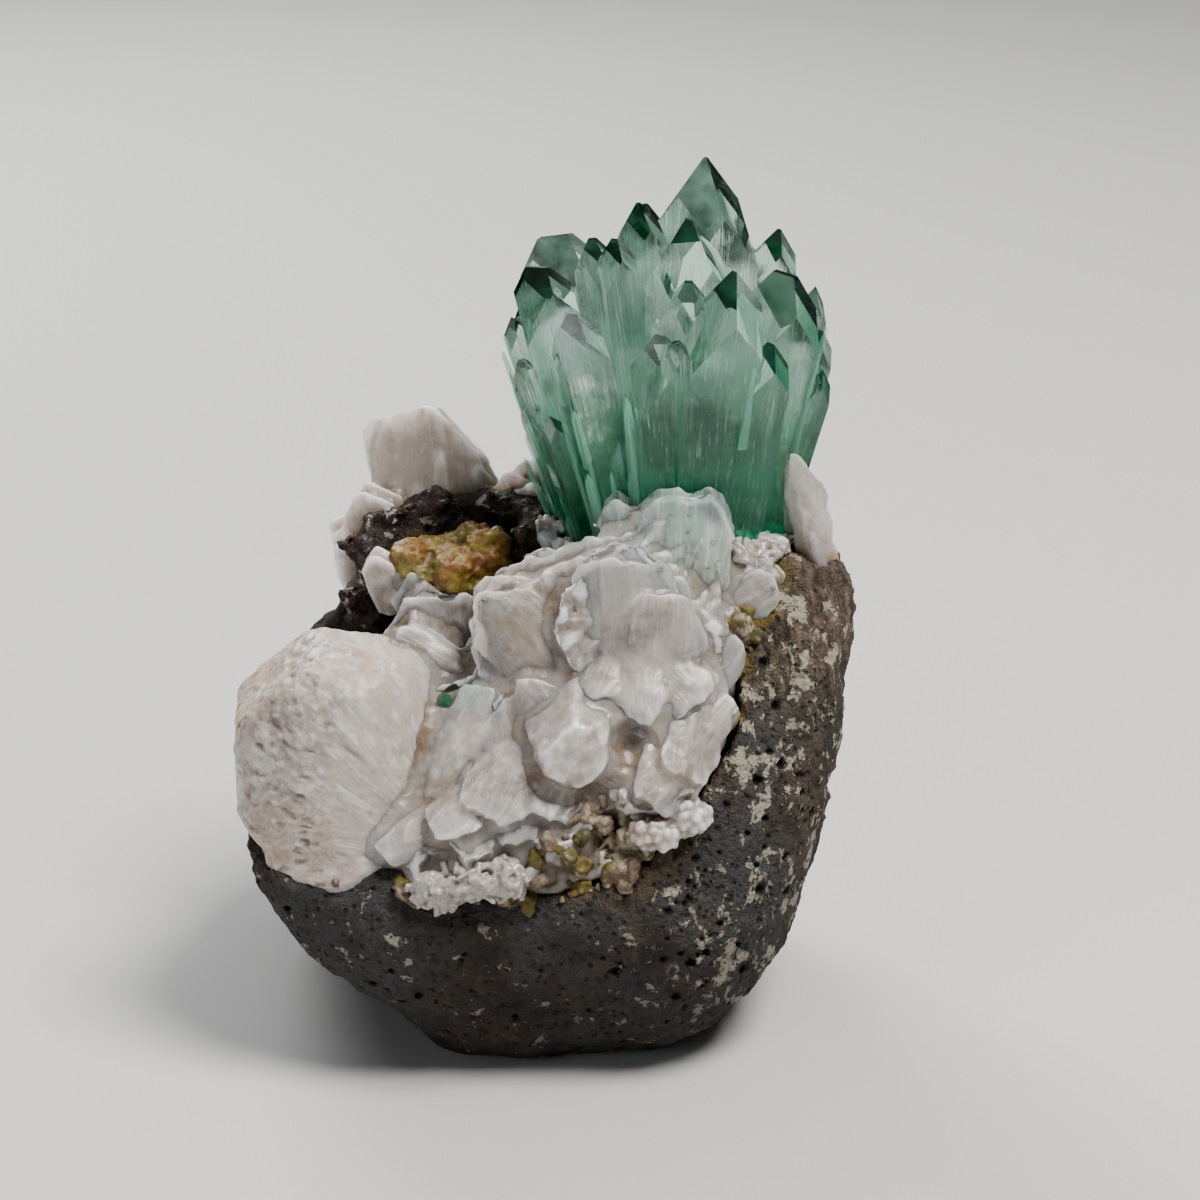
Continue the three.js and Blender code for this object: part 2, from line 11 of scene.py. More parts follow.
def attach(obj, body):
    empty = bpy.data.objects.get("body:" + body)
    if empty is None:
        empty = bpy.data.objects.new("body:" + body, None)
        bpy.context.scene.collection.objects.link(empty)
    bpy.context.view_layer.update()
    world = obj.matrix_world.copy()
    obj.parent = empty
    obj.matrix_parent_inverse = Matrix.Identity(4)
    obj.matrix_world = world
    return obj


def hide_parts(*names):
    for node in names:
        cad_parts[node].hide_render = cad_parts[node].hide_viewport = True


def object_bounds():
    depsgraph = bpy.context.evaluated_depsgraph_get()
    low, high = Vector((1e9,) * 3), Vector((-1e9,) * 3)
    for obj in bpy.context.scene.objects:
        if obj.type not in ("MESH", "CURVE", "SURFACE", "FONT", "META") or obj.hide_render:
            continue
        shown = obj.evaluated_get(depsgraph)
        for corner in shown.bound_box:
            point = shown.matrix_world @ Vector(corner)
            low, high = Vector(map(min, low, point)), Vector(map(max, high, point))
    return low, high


bl_info = {
    "name": "Apophyllite specimen",
    "version": (1, 0, 0),
    "blender": (4, 5, 0),
    "location": "3D View > Sidebar > Specimen",
    "description": "Dresses the packed apophyllite and stilbite specimen and sets its stage",
    "category": "Add Mesh",
}

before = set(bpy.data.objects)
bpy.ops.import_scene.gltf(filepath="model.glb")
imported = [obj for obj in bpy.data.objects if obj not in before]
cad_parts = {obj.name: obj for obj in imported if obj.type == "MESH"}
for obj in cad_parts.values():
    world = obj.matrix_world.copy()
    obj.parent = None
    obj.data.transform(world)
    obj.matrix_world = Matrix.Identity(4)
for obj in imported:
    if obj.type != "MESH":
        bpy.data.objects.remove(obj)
CAD_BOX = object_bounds()

MM = 0.001

# Where the axes of the green crystals meet, in millimetres, and how far from there they begin and end.
SPRAY_SOURCE = Vector((17, 8, 21))
SPRAY_ROOT = 36
SPRAY_TOP = 84

# The view: the lens and the width of its picture in millimetres, how far away it is and what it looks at in
# metres, and how many degrees it looks down.
LENS, PICTURE = 100, 36
VIEW_DISTANCE = 0.4083
VIEW_RISE = 20
VIEW_ASIDE, VIEW_ABOVE = 0.0065, 0.0003
# The lamps: where each is, how wide, how strong and in what tint.
LAMPS = (
    ("key", (0.30, -0.20, 0.74), 0.34, 7.6, (1.0, 0.97, 0.93)),
    ("fill", (-0.62, -0.52, 0.24), 0.40, 1.3, (0.93, 0.96, 1.0)),
    ("back", (-0.30, 0.60, 0.50), 0.45, 4.0, (1.0, 1.0, 1.0)),
    ("ceiling", (0.0, 0.25, 1.10), 1.20, 2.2, (1.0, 1.0, 1.0)),
)
LAMP_AIM = Vector((0, 0, 0.05))
ROOM_TINT, ROOM_LIGHT = (0.75, 0.77, 0.80, 1), 0.10
FLOOR_RADIUS = 6


# ---- Small helpers ------------------------------------------------------------------------------------


def only(obj):
    """Selects one object and makes it active."""
    for other in list(bpy.context.selected_objects):
        other.select_set(False)
    obj.select_set(True)
    bpy.context.view_layer.objects.active = obj


def modify(obj, kind, **settings):
    """Adds one modifier and applies it."""
    modifier = obj.modifiers.new(kind.lower(), kind)
    for key, value in settings.items():
        setattr(modifier, key, value)
    only(obj)
    bpy.ops.object.modifier_apply(modifier=modifier.name)


def edit(obj, *steps):
    """Runs edit mode operators on everything that the object has."""
    only(obj)
    bpy.ops.object.mode_set(mode="EDIT")
    bpy.ops.mesh.select_all(action="SELECT")
    for step, settings in steps:
        step(**settings)
    bpy.ops.object.mode_set(mode="OBJECT")


def cad_copy(node, name):
    """A merged copy of a CAD node, to be shaped further."""
    obj = bpy.data.objects.new(name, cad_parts[node].data.copy())
    bpy.context.scene.collection.objects.link(obj)
    obj.data.materials.clear()
    edit(
        obj,
        (bpy.ops.mesh.remove_doubles, {"threshold": 1e-6}),
        (bpy.ops.mesh.normals_make_consistent, {"inside": False}),
    )
    return obj


def twin(obj):
    """A copy of an object with a mesh of its own."""
    copy = obj.copy()
    copy.data = obj.data.copy()
    bpy.context.scene.collection.objects.link(copy)
    return copy


def joined(objects, name):
    """One object of several, under a new name."""
    only(objects[0])
    for obj in objects[1:]:
        obj.select_set(True)
    if len(objects) > 1:
        bpy.ops.object.join()
    whole = bpy.context.view_layer.objects.active
    whole.name = name
    whole.data.name = name
    return whole


def points_of(obj):
    points = np.empty(len(obj.data.vertices) * 3)
    obj.data.vertices.foreach_get("co", points)
    return points.reshape(-1, 3)


def normals_of(obj):
    normals = np.empty(len(obj.data.vertices) * 3)
    obj.data.vertices.foreach_get("normal", normals)
    return normals.reshape(-1, 3)


def set_points(obj, points):
    obj.data.vertices.foreach_set("co", np.asarray(points, np.float32).ravel())
    obj.data.update()


def write(obj, name, values):
    """Keeps one number per vertex as an attribute of the mesh."""
    attribute = obj.data.attributes.get(name) or obj.data.attributes.new(name, "FLOAT", "POINT")
    attribute.data.foreach_set("value", np.asarray(values, np.float32))


def relaxed(obj, rounds):
    """The vertices after each has moved to the middle of its neighbours, that many times."""
    edges = np.empty(len(obj.data.edges) * 2, int)
    obj.data.edges.foreach_get("vertices", edges)
    a, b = edges.reshape(-1, 2).T
    points = points_of(obj)
    count = np.maximum(np.bincount(np.r_[a, b], minlength=len(points)), 1)[:, None]
    for _ in range(rounds):
        total = [np.bincount(np.r_[a, b], np.r_[points[b, k], points[a, k]], len(points)) for k in range(3)]
        points = np.stack(total, 1) / count
    return points


def crevices(obj, rounds=14):
    """How deep each vertex lies in a crevice, in metres; negative on an edge or tip."""
    return ((relaxed(obj, rounds) - points_of(obj)) * normals_of(obj)).sum(1)


def rough(points, size, seed=0, octaves=4):
    """Fractal noise of about -1 to 1 at each point, over features of the given size in metres."""
    shift = Vector((seed * 7.3, seed * 3.1, seed * 5.7))
    return np.array([noise.fractal(Vector(p) / size + shift, 1.0, 2.0, octaves) for p in points])


def lumps(points, size, seed=0):
    """Rounded cells of the given size in metres that meet in sharp creases: about -0.5 to 0.5."""
    shift = Vector((seed * 4.1, seed * 9.7, seed * 2.3))
    return np.array([0.5 - noise.voronoi(Vector(p) / size + shift)[0][0] for p in points])


def nearness(points, spots):
    """From 0 to 1: how close each point is to the nearest of the spots, given as centre and reach in mm."""
    best = np.zeros(len(points))
    for centre, reach in spots:
        away = np.linalg.norm(points - np.array(centre) * MM, axis=1) / (reach * MM)
        best = np.maximum(best, np.clip(1.25 - away, 0, 1))
    return best


def gap_to(points, *others):
    """How far each point is from the nearest vertex of the other objects."""
    tree = kdtree.KDTree(sum(len(other.data.vertices) for other in others))
    for k, other in enumerate(others):
        for point in points_of(other):
            tree.insert(point, k)
    tree.balance()
    return np.array([tree.find(point)[2] for point in points])


def shade(obj, angle):
    only(obj)
    bpy.ops.object.shade_smooth_by_angle(angle=math.radians(angle))


def done(obj, slot, material, *nodes):
    """Gives a finished piece its material, hangs it on the root body and hides the CAD parts that it stands
    for.
    """
    obj.data.materials.clear()
    obj.data.materials.append(material)
    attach(obj, "root")
    if nodes:
        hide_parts(*nodes)
    return obj


# ---- Material helpers ---------------------------------------------------------------------------------


# The size of the finest noise that a finish shows, in millimetres.
FINEST = 0.1


class Finish:
    """A material and short ways to add and link its nodes."""

    def __init__(self, name):
        self.material = bpy.data.materials.new(name)
        self.material.use_nodes = True
        self.tree = self.material.node_tree
        self.shader = self.tree.nodes["Principled BSDF"]
        self.place = self.tree.nodes.new("ShaderNodeTexCoord").outputs["Object"]

    def node(self, kind, inputs=(), out=0, **settings):
        made = self.tree.nodes.new("ShaderNode" + kind)
        for key, value in settings.items():
            setattr(made, key, value)
        for key, value in dict(inputs).items():
            if isinstance(value, bpy.types.NodeSocket):
                self.tree.links.new(value, made.inputs[key])
            else:
                made.inputs[key].default_value = value
        return made.outputs[out]

    def set(self, **inputs):
        for key, value in inputs.items():
            socket = self.shader.inputs[key.replace("_", " ")]
            if isinstance(value, bpy.types.NodeSocket):
                self.tree.links.new(value, socket)
            else:
                socket.default_value = value

    def attribute(self, name):
        return self.node("Attribute", attribute_name=name, out="Fac")

    def scaled(self, stretch, turn=(0, 0, 0)):
        return self.node("Mapping", {"Vector": self.place, "Rotation": turn, "Scale": stretch})

    def noise(self, size, detail=4, vector=None, roughness=0.55, distortion=0):
        """Noise of a size in millimetres."""
        detail = min(detail, max(2, round(math.log2(size / FINEST))))
        return self.node(
            "TexNoise",
            {
                "Vector": vector or self.place,
                "Scale": 1 / (size * MM),
                "Detail": detail,
                "Roughness": roughness,
                "Distortion": distortion,
            },
        )

    def cells(self, size, out="Distance"):
        return self.node("TexVoronoi", {"Vector": self.place, "Scale": 1 / (size * MM)}, out=out)

    def spread(self, value, low, high, to_low=0.0, to_high=1.0, smooth=False):
        return self.node(
            "MapRange",
            {"Value": value, "From Min": low, "From Max": high, "To Min": to_low, "To Max": to_high},
            interpolation_type="SMOOTHSTEP" if smooth else "LINEAR",
        )

    def math(self, operation, a, b=0.0):
        return self.node("Math", {0: a, 1: b}, operation=operation)

    def times(self, a, b):
        return self.math("MULTIPLY", a, b)

    def mix(self, factor, a, b):
        colours = {
            key: value if isinstance(value, bpy.types.NodeSocket) else (*value, 1)
            for key, value in ((6, a), (7, b))
        }
        return self.node("Mix", {0: factor, **colours}, out=2, data_type="RGBA")

    def bump(self, height, depth, strength=1.0, under=None):
        inputs = {"Height": height, "Distance": depth * MM, "Strength": strength}
        if under:
            inputs["Normal"] = under
        return self.node("Bump", inputs)


# ---- Settings -----------------------------------------------------------------------------------------


def colour(name, description, default):
    return bpy.props.FloatVectorProperty(
        name=name, description=description, default=default, subtype="COLOR", size=3, min=0, max=1
    )


def size(name, description, default_mm):
    return bpy.props.FloatProperty(
        name=name, description=description, default=default_mm * MM, unit="LENGTH", precision=5, min=0
    )


class BasaltSettings(bpy.types.PropertyGroup):
    grain: size("Grain", "Size of the squares that the rock's surface is divided into", 1.045)
    pit: size("Pit", "Radius of the largest open gas bubbles", 0.75)
    dark: colour("Dark rock", "The weathered skin", (0.052, 0.041, 0.034))
    band: colour("Fresh rock", "The bluish band under the front edge", (0.098, 0.096, 0.094))
    zeolite: colour("Patches", "The thin white zeolite patches", (0.52, 0.49, 0.42))


class ApophylliteSettings(bpy.types.PropertyGroup):
    root: colour("Root", "Colour at the root of the spray", (0.035, 0.47, 0.24))
    tip: colour("Tip", "Colour at the tips", (0.81, 0.96, 0.90))


class StilbiteSettings(bpy.types.PropertyGroup):
    leaf: size("Leaf", "Thickness of one leaf of a sheaf", 1.7)
    white: colour("White", "The pearly white of the blades", (0.50, 0.462, 0.43))
    cream: colour("Cream", "The cream of the dome", (0.48, 0.405, 0.34))
    stain: colour("Stain", "Iron stain in the crevices", (0.24, 0.155, 0.085))


class ClaySettings(bpy.types.PropertyGroup):
    yellow: colour("Yellow", "The yellow of the clay", (0.26, 0.18, 0.035))
    orange: colour("Orange", "The rusty part of the clay", (0.22, 0.092, 0.03))


class StageSettings(bpy.types.PropertyGroup):
    floor: colour("Floor", "The plain floor", (0.62, 0.62, 0.61))


# ---- Basalt -------------------------------------------------------------------------------------------


# The knobbly ledge behind the hollow, and the knobs on it: centres and reach in millimetres.
LEDGE_SPOTS = (
    ((-0.5, 11, 61.5), 5), ((-7, 12, 62), 5), ((-14, 12, 62), 5), ((-20, 11, 60), 5), ((-24.5, 8, 56), 4),
    ((-24.6, 4, 51.5), 4), ((-4, 5, 60), 3),
)
LEDGE_KNOBS = (
    ((-24.4, 5, 52), 1.9), ((-24.6, 8, 57), 2.1), ((-20, 10.8, 60.2), 2.0), ((-13.4, 12, 61.8), 2.0),
    ((-7, 11.8, 62), 1.9), ((-3.6, 5.6, 58.6), 3.0), ((-2.0, 9.0, 60.4), 2.4), ((-0.6, 11.4, 61.2), 2.1),
    ((-16.6, 11, 61.2), 1.6),
)
# Where the rock's front edge is altered to tan.
TAN_EDGE = (((9.5, -28, 29.5), 5.0), ((3.5, -28.5, 29), 4.0), ((15, -26, 31), 3.0))
PIT_COUNT = 340


def rock_zones(points):
    """How far each point belongs to the front, the right wall, its torn top, the ledge and the tan edge."""
    x, y, z = (points / MM).T
    front = np.clip((-y - 4) / 14, 0, 1)
    right = np.clip((x - 6 + 0.35 * (-y - 20)) / 16, 0, 1)
    torn = np.clip((x - 22) / 5, 0, 1) * np.clip((z - 42) / 7, 0, 1)
    return front, right, torn, nearness(points, LEDGE_SPOTS), nearness(points, TAN_EDGE)


def scatter(count, seed, weight):
    """Picks that many vertices, more often where the weight is high."""
    picker = np.random.RandomState(seed)
    chance = np.clip(weight, 0, None)
    return picker.choice(len(chance), size=count, replace=False, p=chance / chance.sum())


def sink_pits(obj, centres, radii, depth):
    """Presses a round pit into the surface at each centre and keeps how deep each vertex went."""
    points, normals = points_of(obj), normals_of(obj)
    tree = kdtree.KDTree(len(points))
    for i, point in enumerate(points):
        tree.insert(point, i)
    tree.balance()
    sunk = np.zeros(len(points))
    for centre, radius in zip(centres, radii):
        for _, i, distance in tree.find_range(centre, radius * 1.25):
            share = min(1.0, distance / radius)
            sunk[i] = max(sunk[i], (1 - share**3) * depth * radius)
    set_points(obj, points - normals * sunk[:, None])
    return sunk


def with_balls(piece, balls, name):
    """A piece joined with balls, given as centre and radius in millimetres."""
    together = [piece]
    for centre, radius in balls:
        place = Vector(centre) * MM
        bpy.ops.mesh.primitive_ico_sphere_add(subdivisions=3, radius=radius * MM, location=place)
        bpy.ops.object.transform_apply(location=True)
        together.append(bpy.context.object)
    return joined(together, name)


def make_basalt(settings):
    rock = with_balls(cad_copy("basalt_matrix", "basalt"), LEDGE_KNOBS, "basalt")
    modify(rock, "REMESH", mode="VOXEL", voxel_size=settings.grain, use_smooth_shade=True)
    modify(rock, "SMOOTH", factor=0.5, iterations=8)
    modify(rock, "SUBSURF", levels=1, render_levels=1)
    points, normals = points_of(rock), normals_of(rock)
    front, right, torn, ledge, tan = rock_zones(points)
    skin = 0.26 * rough(points, 4.5 * MM, 1) + 0.22 * rough(points, 1.6 * MM, 2, 5)
    scoops = np.abs(rough(points, 9 * MM, 11, 3)) + 0.4 * np.abs(rough(points, 3.5 * MM, 12, 2))
    skin -= (1 - 0.6 * front) * (1.5 * scoops - 0.35)
    streaks = rough(points * np.array([1.0, 1.0, 0.22]), 0.9 * MM, 3, 3)
    skin += 0.16 * streaks * np.clip(right + torn, 0, 1)
    broken = np.clip(ledge + tan, 0, 1)
    skin += broken * (1.5 * lumps(points, 2.4 * MM, 5) + 0.6 * rough(points, 1.2 * MM, 6))
    set_points(rock, points + normals * (skin * MM)[:, None])

    weight = np.clip(0.2 + front * (0.35 + 1.2 * right) - 0.8 * torn, 0.02, None)
    weight *= np.clip((points[:, 2] / MM - 4) / 8, 0, 1)
    picker = np.random.RandomState(8)
    radii = settings.pit * (0.35 + 0.65 * picker.rand(PIT_COUNT) ** 3)
    centres = points_of(rock)[scatter(PIT_COUNT, 4, weight)]
    only(rock)
    bpy.ops.object.mode_set(mode="EDIT")
    mesh = bmesh.from_edit_mesh(rock.data)
    tree = kdtree.KDTree(len(centres))
    for i, centre in enumerate(centres):
        tree.insert(centre, i)
    tree.balance()
    for face in mesh.faces:
        _, i, distance = tree.find(face.calc_center_median())
        face.select_set(bool(distance < radii[i] * 1.3))
    bpy.ops.mesh.subdivide(number_cuts=1)
    bpy.ops.object.mode_set(mode="OBJECT")
    sunk = sink_pits(rock, centres, radii, 1.15)
    points = points_of(rock)
    front, right, torn, ledge, tan = rock_zones(points)
    write(rock, "pit", np.clip(sunk / (0.5 * MM), 0, 1))
    zones = {"front": front, "right": right, "torn": torn, "ledge": ledge, "tan": tan}
    for zone, values in zones.items():
        write(rock, zone, values)
    write(rock, "crevice", crevices(rock, 10) / (0.3 * MM))
    low = points[:, 2] < 0
    points[low, 2] = 0
    set_points(rock, points)
    shade(rock, 60)
    return done(rock, "basalt", basalt_finish(settings), "basalt_matrix")


def basalt_finish(settings):
    f = Finish("weathered basalt")
    front, right, torn = f.attribute("front"), f.attribute("right"), f.attribute("torn")
    clouds = f.noise(9, 5)
    grain = f.noise(0.9, 6, roughness=0.7)
    skin = f.mix(f.spread(clouds, 0.35, 0.65), settings.dark, (0.115, 0.090, 0.072))
    worn = f.times(f.spread(f.noise(4.5, 5, roughness=0.65), 0.5, 0.66), 0.5)
    skin = f.mix(worn, skin, (0.17, 0.135, 0.105))
    skin = f.mix(f.times(f.spread(grain, 0.35, 0.75), 0.6), skin, (0.022, 0.018, 0.016))
    fresh = f.mix(f.spread(grain, 0.3, 0.8), settings.band, (0.045, 0.043, 0.043))
    band = f.times(front, f.spread(f.noise(14, 2), 0.42, 0.58))
    stone = f.mix(band, skin, fresh)
    streak = f.noise(1.1, 5, vector=f.scaled((1, 1, 0.12)), roughness=0.65)
    brown = f.mix(f.spread(streak, 0.35, 0.7), (0.040, 0.030, 0.024), (0.23, 0.175, 0.135))
    stone = f.mix(torn, stone, brown)
    crowd = f.math("ADD", f.noise(3.4, 6, roughness=0.68), f.times(right, 0.065))
    patches = f.spread(crowd, 0.612, 0.640)
    flecks = f.spread(f.noise(0.9, 3, roughness=0.6), 0.67, 0.71)
    streaky = f.spread(f.noise(1.5, 5, vector=f.scaled((1, 1, 0.3)), roughness=0.65), 0.61, 0.65)
    wall = f.math("MAXIMUM", patches, f.times(flecks, f.spread(right, 0, 1, 0.4, 1)))
    wall = f.math("MAXIMUM", wall, f.times(streaky, f.spread(right, 0.5, 1)))
    white = f.mix(f.noise(2.2, 2), settings.zeolite, (0.36, 0.33, 0.24))
    stone = f.mix(f.times(wall, 0.9), stone, white)
    ledge, seam = f.attribute("ledge"), f.attribute("seam")
    dusky = f.mix(f.spread(f.noise(2.2, 4), 0.4, 0.65), (0.030, 0.020, 0.017), (0.095, 0.055, 0.045))
    stone = f.mix(ledge, stone, dusky)
    tan = f.mix(f.spread(f.noise(2, 4), 0.42, 0.62), (0.20, 0.14, 0.085), (0.075, 0.050, 0.038))
    stone = f.mix(f.attribute("tan"), stone, tan)
    glints = f.times(ledge, f.spread(f.noise(2.0, 4, roughness=0.6, distortion=0.4), 0.585, 0.615))
    stone = f.mix(f.times(glints, 0.9), stone, (0.50, 0.48, 0.46))
    ochre = f.times(seam, f.spread(f.noise(4.5, 4, roughness=0.6), 0.49, 0.55))
    olive = f.mix(f.spread(clouds, 0.4, 0.6), (0.24, 0.17, 0.045), (0.13, 0.10, 0.035))
    stone = f.mix(f.times(ochre, 0.9), stone, olive)
    specks = f.cells(1.7, out="Color")
    speck_red = f.node("SeparateColor", {0: specks}, out=0)
    near = f.spread(f.cells(1.7), 0.16, 0.10)
    yellow = f.times(f.math("GREATER_THAN", speck_red, 0.86), near)
    rust = f.times(f.math("LESS_THAN", speck_red, 0.07), near)
    stone = f.mix(f.times(yellow, 0.8), stone, (0.36, 0.30, 0.12))
    stone = f.mix(f.times(rust, 0.7), stone, (0.20, 0.055, 0.035))
    # Painted shade: the gas-bubble pits and the small holes on the front are painted near black; the same mask
    # sinks them in the bump.
    fine = f.cells(0.95)
    kept = f.node("SeparateColor", {0: f.cells(0.95, out="Color")}, out=1)
    holes = f.times(f.spread(fine, 0.36, 0.22), f.times(f.spread(front, 0, 0.5), f.spread(clouds, 0.38, 0.5)))
    holes = f.times(holes, f.spread(kept, 0.45, 0.6))
    dark = f.math("MAXIMUM", f.attribute("pit"), f.times(holes, 0.8))
    stone = f.mix(f.times(dark, 0.85), stone, (0.006, 0.005, 0.005))
    # Painted shade: the crevices are painted darker.
    stone = f.mix(f.times(f.spread(f.attribute("crevice"), 0.1, 1.0), 0.6), stone, (0.010, 0.008, 0.007))
    low = f.node("SeparateXYZ", {0: f.place}, out=2)
    stone = f.mix(f.spread(low, 34 * MM, 6 * MM, 0.08, 0.42), stone, (0.012, 0.010, 0.009))
    dull = f.math("SUBTRACT", f.spread(wall, 0, 1, 0.82, 0.5), f.times(ledge, 0.38))
    f.set(Base_Color=stone, Roughness=dull, Specular_IOR_Level=0.4)
    height = f.math("SUBTRACT", f.math("ADD", f.times(grain, 0.5), f.times(wall, 0.3)), f.times(dark, 0.8))
    coarse = f.bump(f.noise(1.8, 5, roughness=0.7), 1.0, 0.9)
    f.set(Normal=f.bump(height, 0.6, 1.0, under=coarse))
    return f.material


# ---- Apophyllite --------------------------------------------------------------------------------------


def make_spray(settings):
    material = apophyllite_finish(settings)
    for node, name, edge in (
        ("apophyllite_spray", "apophyllite", 0.10), ("apophyllite_small_crystal", "apophyllite_small", 0.06),
    ):
        spray = cad_copy(node, name)
        edit(spray, (bpy.ops.mesh.dissolve_limited, {"angle_limit": math.radians(0.6)}))
        modify(
            spray, "BEVEL", width=edge * MM, segments=1,
            limit_method="ANGLE", angle_limit=math.radians(12), use_clamp_overlap=True,
        )
        edit(spray, (bpy.ops.mesh.quads_convert_to_tris, {"quad_method": "BEAUTY", "ngon_method": "BEAUTY"}))
        shade(spray, 4)
        mark_faces(spray)
        done(spray, "apophyllite", material, node)
    make_needles()


def make_needles():
    """Slender prisms with pyramid ends that lie along the flanks of the spray."""
    bpy.ops.mesh.primitive_cylinder_add(vertices=4, radius=0.5, depth=1, location=(0, 0, 0.5))
    bpy.ops.object.transform_apply(location=True)
    seedling = bpy.context.object
    edit(seedling, (bpy.ops.mesh.bevel, {"offset": 0.05, "segments": 1, "affect": "EDGES"}))
    shape = points_of(seedling)
    spray = bpy.data.objects["apophyllite"]
    points, normals = points_of(spray), normals_of(spray)
    source = np.array(SPRAY_SOURCE) * MM
    arms = points - source
    reach = np.linalg.norm(arms, axis=1)
    flank = 1 - np.abs((normals * arms).sum(1) / reach)
    weight = np.clip(flank - 0.6, 0, 1) * np.clip((68 * MM - reach) / (20 * MM), 0, 1) * (reach > 38 * MM)
    to_left, to_right, to_front = -normals[:, 0], normals[:, 0], -normals[:, 1]
    weight *= (
        0.4 + np.clip(to_left, 0, 1) + 0.6 * np.clip(to_right - 0.5, 0, 1) - 0.2 * np.clip(to_front, 0, 1)
    )
    front = np.clip(flank - 0.6, 0, 1) * np.clip(to_front - 0.4, 0, 1)
    front *= np.clip((62 * MM - reach) / (10 * MM), 0, 1)
    picker = np.random.RandomState(33)
    needles = []
    # The vertex that each prism lies at, and the limits of its width and height in millimetres.
    rows = [(i, 0.7, 1.9, 6, 17) for i in scatter(120, 34, weight)]
    rows += [(i, 1.6, 3.4, 12, 24) for i in scatter(26, 35, front)]
    for i, thin, broad, short, long in rows:
        grown = twin(seedling)
        wide, tall = picker.uniform(thin, broad) * MM, picker.uniform(short, long) * MM
        tip = np.clip(shape[:, 2:3] * tall - (tall - wide), 0, wide) / wide
        sized = shape * np.array([wide, wide * picker.uniform(0.7, 1), tall])
        sized[:, :2] *= 1 - 0.96 * tip
        set_points(grown, sized)
        axis = Vector(arms[i] / reach[i])
        turn = axis.to_track_quat("Z", "Y").to_matrix().to_4x4()
        turn = turn @ Matrix.Rotation(picker.uniform(0, 1.6), 4, "Z")
        foot = Vector(points[i]) - axis * tall * 0.6 - Vector(normals[i]) * wide * 0.15
        grown.data.transform(Matrix.Translation(foot) @ turn)
        needles.append(grown)
    bpy.data.objects.remove(seedling)
    needles = joined(needles, "apophyllite_needles")
    mark_faces(needles)
    shade(needles, 4)
    return done(needles, "apophyllite", bpy.data.materials["apophyllite"], "apophyllite_spray")


def mark_faces(piece):
    """Keeps which faces end a crystal, which carry frost and which get painted shade, a darker green painted on
    faces picked at random.
    """
    glassy, frosty, painted_shade = [], [], []
    for face in piece.data.polygons:
        axis = (face.center - SPRAY_SOURCE * MM).normalized()
        glassy.append(0.0 if abs(face.normal.dot(axis)) < 0.3 else 1.0)
        frosty.append(max(0.0, noise.cell(face.normal * 23)))
        painted_shade.append(1.0 if noise.cell(face.normal * 31 + Vector((7, 3, 5))) > 0.25 else 0.0)
    for label, values in (("glassy", glassy), ("frosty", frosty), ("painted_shade", painted_shade)):
        attribute = piece.data.attributes.new(label, "FLOAT", "FACE")
        attribute.data.foreach_set("value", np.array(values, np.float32))


def apophyllite_finish(settings):
    f = Finish("apophyllite")
    arm = f.node("VectorMath", {0: f.place, 1: tuple(SPRAY_SOURCE * MM)}, operation="SUBTRACT")
    reach = f.node("VectorMath", {0: arm}, out="Value", operation="LENGTH")
    wander = f.spread(f.noise(8, 3), 0.3, 0.7, -6 * MM, 6 * MM)
    depth = f.math("ADD", reach, wander)
    growth = f.spread(depth, (SPRAY_ROOT + 7) * MM, (SPRAY_TOP - 15) * MM, smooth=True)
    green = f.mix(growth, settings.root, settings.tip)
    glassy, frosty = f.attribute("glassy"), f.attribute("frosty")
    way = f.node("VectorMath", {0: arm}, operation="NORMALIZE")
    # Lines that run with the crystals: fine across the way they point, long along it.
    lines = f.node("TexNoise", {"Vector": way, "Scale": 230, "Detail": 4, "Roughness": 0.7})
    steps = f.node("TexNoise", {"Vector": way, "Scale": 60, "Detail": 2, "Roughness": 0.5})
    prism = f.math("SUBTRACT", 1.0, glassy)
    patches = f.noise(5, 4, roughness=0.6)
    white_side = f.times(prism, f.times(f.spread(frosty, 0.48, 0.53), f.spread(patches, 0.42, 0.60)))
    streaks = f.times(white_side, f.spread(lines, 0.40, 0.62, 0.25, 1.0))
    hairlines = f.times(prism, f.spread(lines, 0.54, 0.66))
    milk = f.spread(f.noise(3.5, 3), 0.35, 0.65, 0.3, 1)
    milky_tip = f.times(glassy, f.times(f.spread(frosty, 0.35, 0.9), milk))
    cloud = f.times(f.spread(growth, 0.75, 0.0), f.spread(f.noise(4.5, 4), 0.35, 0.62, 0.35, 1.0))
    foot = f.spread(reach, (SPRAY_ROOT + 10) * MM, (SPRAY_ROOT + 4) * MM, 0, 0.6)
    veil = f.times(cloud, 0.24)
    for part, share in ((streaks, 0.85), (milky_tip, 0.35), (hairlines, 0.34), (foot, 1)):
        veil = f.math("MAXIMUM", veil, f.times(part, share))
    # Painted shade: faces picked at random are painted a darker green, most strongly low on the spray.
    painted_shade = f.times(f.attribute("painted_shade"), f.spread(growth, 0.0, 0.9, 0.75, 0.30))
    green = f.mix(painted_shade, green, (0.03, 0.34, 0.22))
    frost = f.math("MAXIMUM", f.times(streaks, 0.8), f.times(hairlines, 0.5))
    body = f.mix(frost, green, (0.80, 0.88, 0.85))
    body = f.mix(f.times(milky_tip, 0.5), body, (0.42, 0.66, 0.54))
    f.set(
        Base_Color=body,
        Transmission_Weight=f.spread(veil, 0, 1, 1, 0),
        IOR=1.535,
        Roughness=f.math("ADD", 0.012, f.math("ADD", f.times(streaks, 0.26), f.times(cloud, 0.06))),
    )
    ridges = f.times(prism, f.math("ADD", f.times(lines, 0.6), f.times(steps, 0.8)))
    f.set(Normal=f.bump(ridges, 0.45, 0.5))
    absorb = f.node("VolumeAbsorption", {"Color": (0.50, 0.86, 0.72, 1), "Density": 12.0})
    f.tree.links.new(absorb, f.tree.nodes["Material Output"].inputs["Volume"])
    return f.material


# ---- Stilbite -----------------------------------------------------------------------------------------

